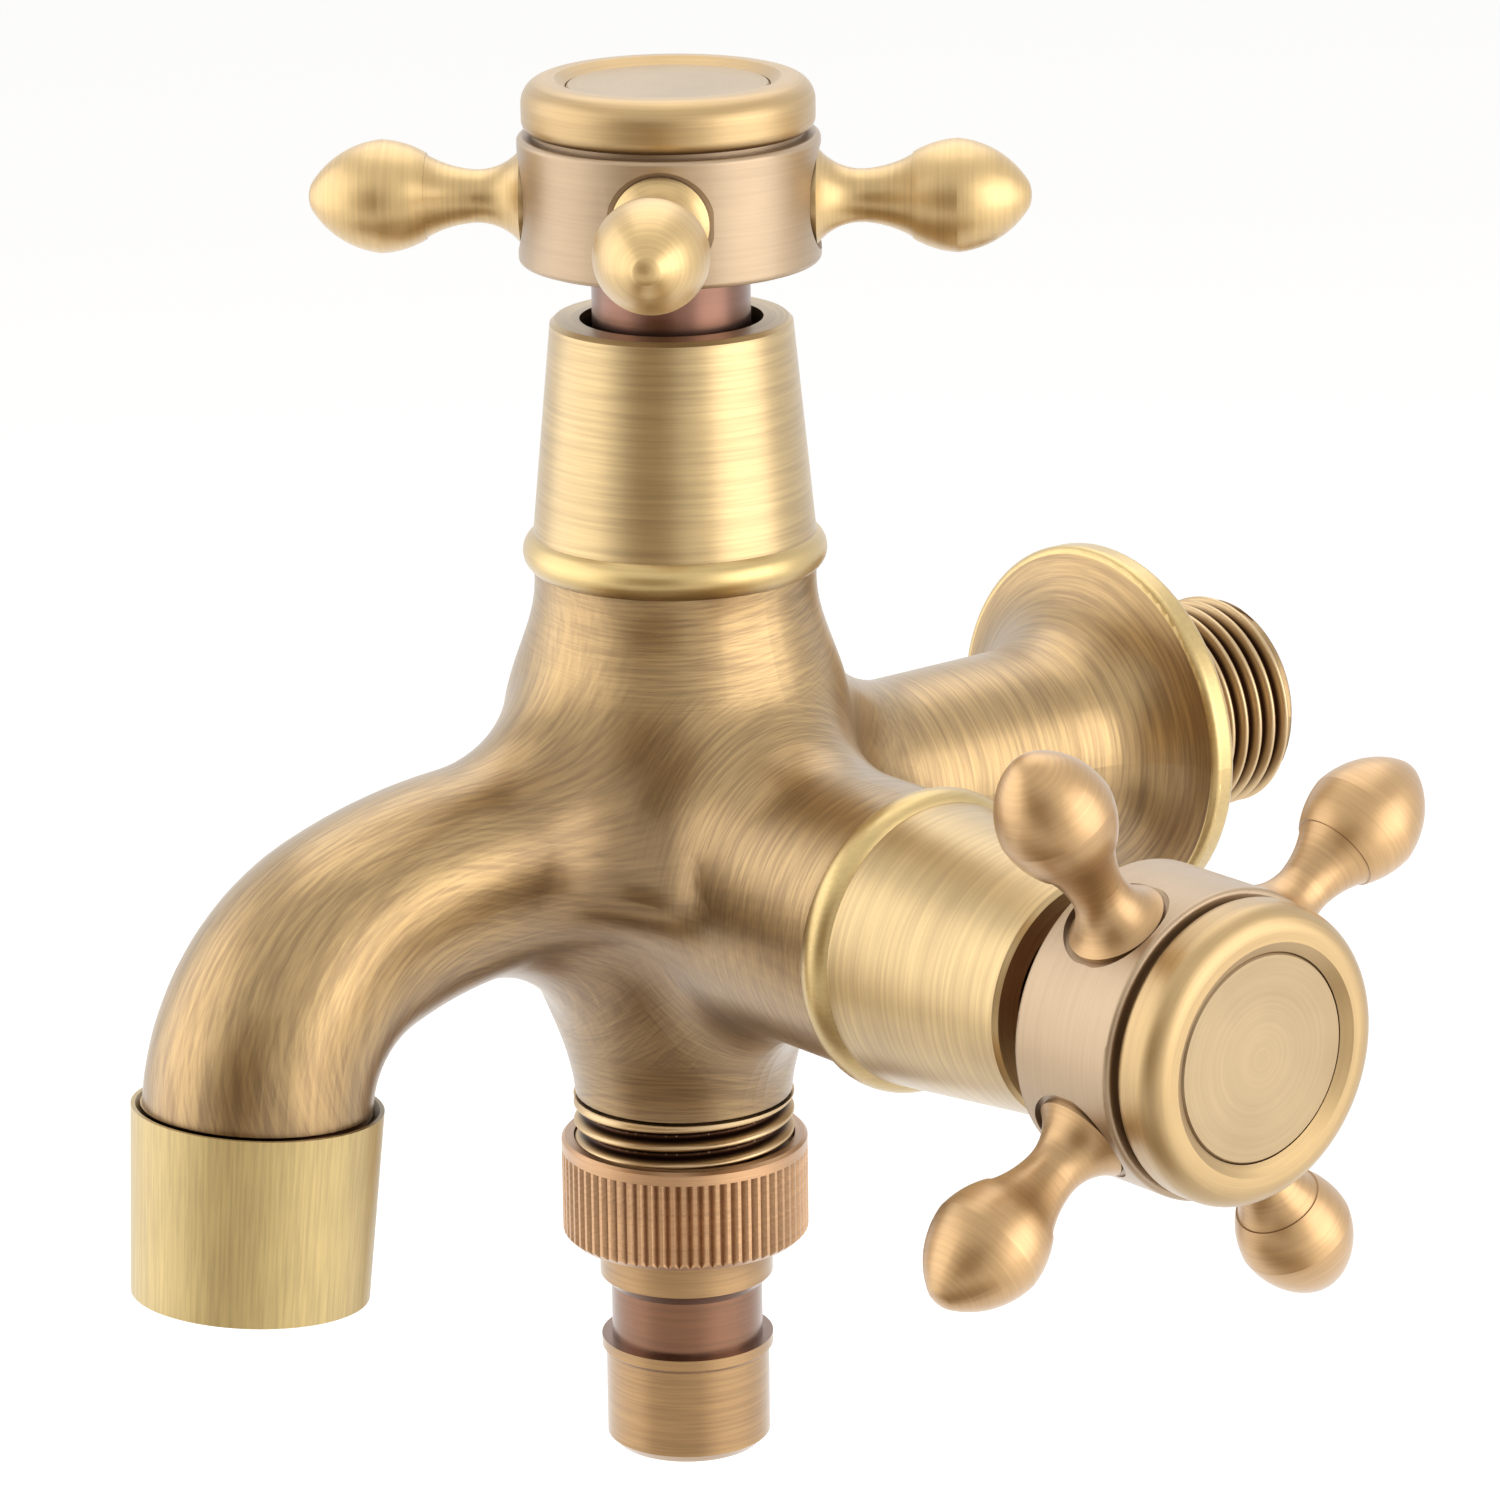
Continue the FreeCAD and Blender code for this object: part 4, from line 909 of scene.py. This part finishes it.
class TAP_OT_stage(bpy.types.Operator):
    """Adds the pale floor, the soft lamps, the brown cards and the camera"""

    bl_idname = "tap.stage"
    bl_label = "Set the stage"

    def execute(self, context):
        scene = context.scene
        stage = scene.tap_stage
        low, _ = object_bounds()
        floor_height = low.z - FLOOR_GAP * MM
        add_floor(stage, floor_height)
        add_sky(scene)
        add_lamps(scene, stage)
        add_flags(stage, floor_height)
        add_camera(scene, stage)
        scene.view_settings.view_transform = "Standard"
        return {"FINISHED"}


class TAP_PT_panel(bpy.types.Panel):
    """Lists the tap's sizes, colours and steps"""

    bl_idname = "TAP_PT_panel"
    bl_label = "Cross handle tap"
    bl_space_type = "VIEW_3D"
    bl_region_type = "UI"
    bl_category = "Tap"

    def draw(self, context):
        scene = context.scene
        for group in (scene.tap_finish, scene.tap_thread, scene.tap_stage):
            box = self.layout.box()
            for name in group.__annotations__:
                box.prop(group, name)
        for operator in OPERATORS:
            self.layout.operator(operator.bl_idname)


OPERATORS = (TAP_OT_casting, TAP_OT_threads, TAP_OT_bonnets, TAP_OT_handles, TAP_OT_outlet,
             TAP_OT_connector, TAP_OT_valves, TAP_OT_stage)
GROUPS = {"tap_finish": TapFinish, "tap_thread": TapThread, "tap_stage": TapStage}


def register():
    for name, group in GROUPS.items():
        bpy.utils.register_class(group)
        setattr(bpy.types.Scene, name, bpy.props.PointerProperty(type=group))
    for operator in OPERATORS:
        bpy.utils.register_class(operator)
    bpy.utils.register_class(TAP_PT_panel)


def unregister():
    bpy.utils.unregister_class(TAP_PT_panel)
    for operator in reversed(OPERATORS):
        bpy.utils.unregister_class(operator)
    for name, group in GROUPS.items():
        delattr(bpy.types.Scene, name)
        bpy.utils.unregister_class(group)


def main():
    register()
    for step in (bpy.ops.tap.casting, bpy.ops.tap.threads, bpy.ops.tap.bonnets, bpy.ops.tap.handles,
                 bpy.ops.tap.outlet, bpy.ops.tap.connector, bpy.ops.tap.valves, bpy.ops.tap.stage):
        step()


if __name__ == "__main__":
    main()
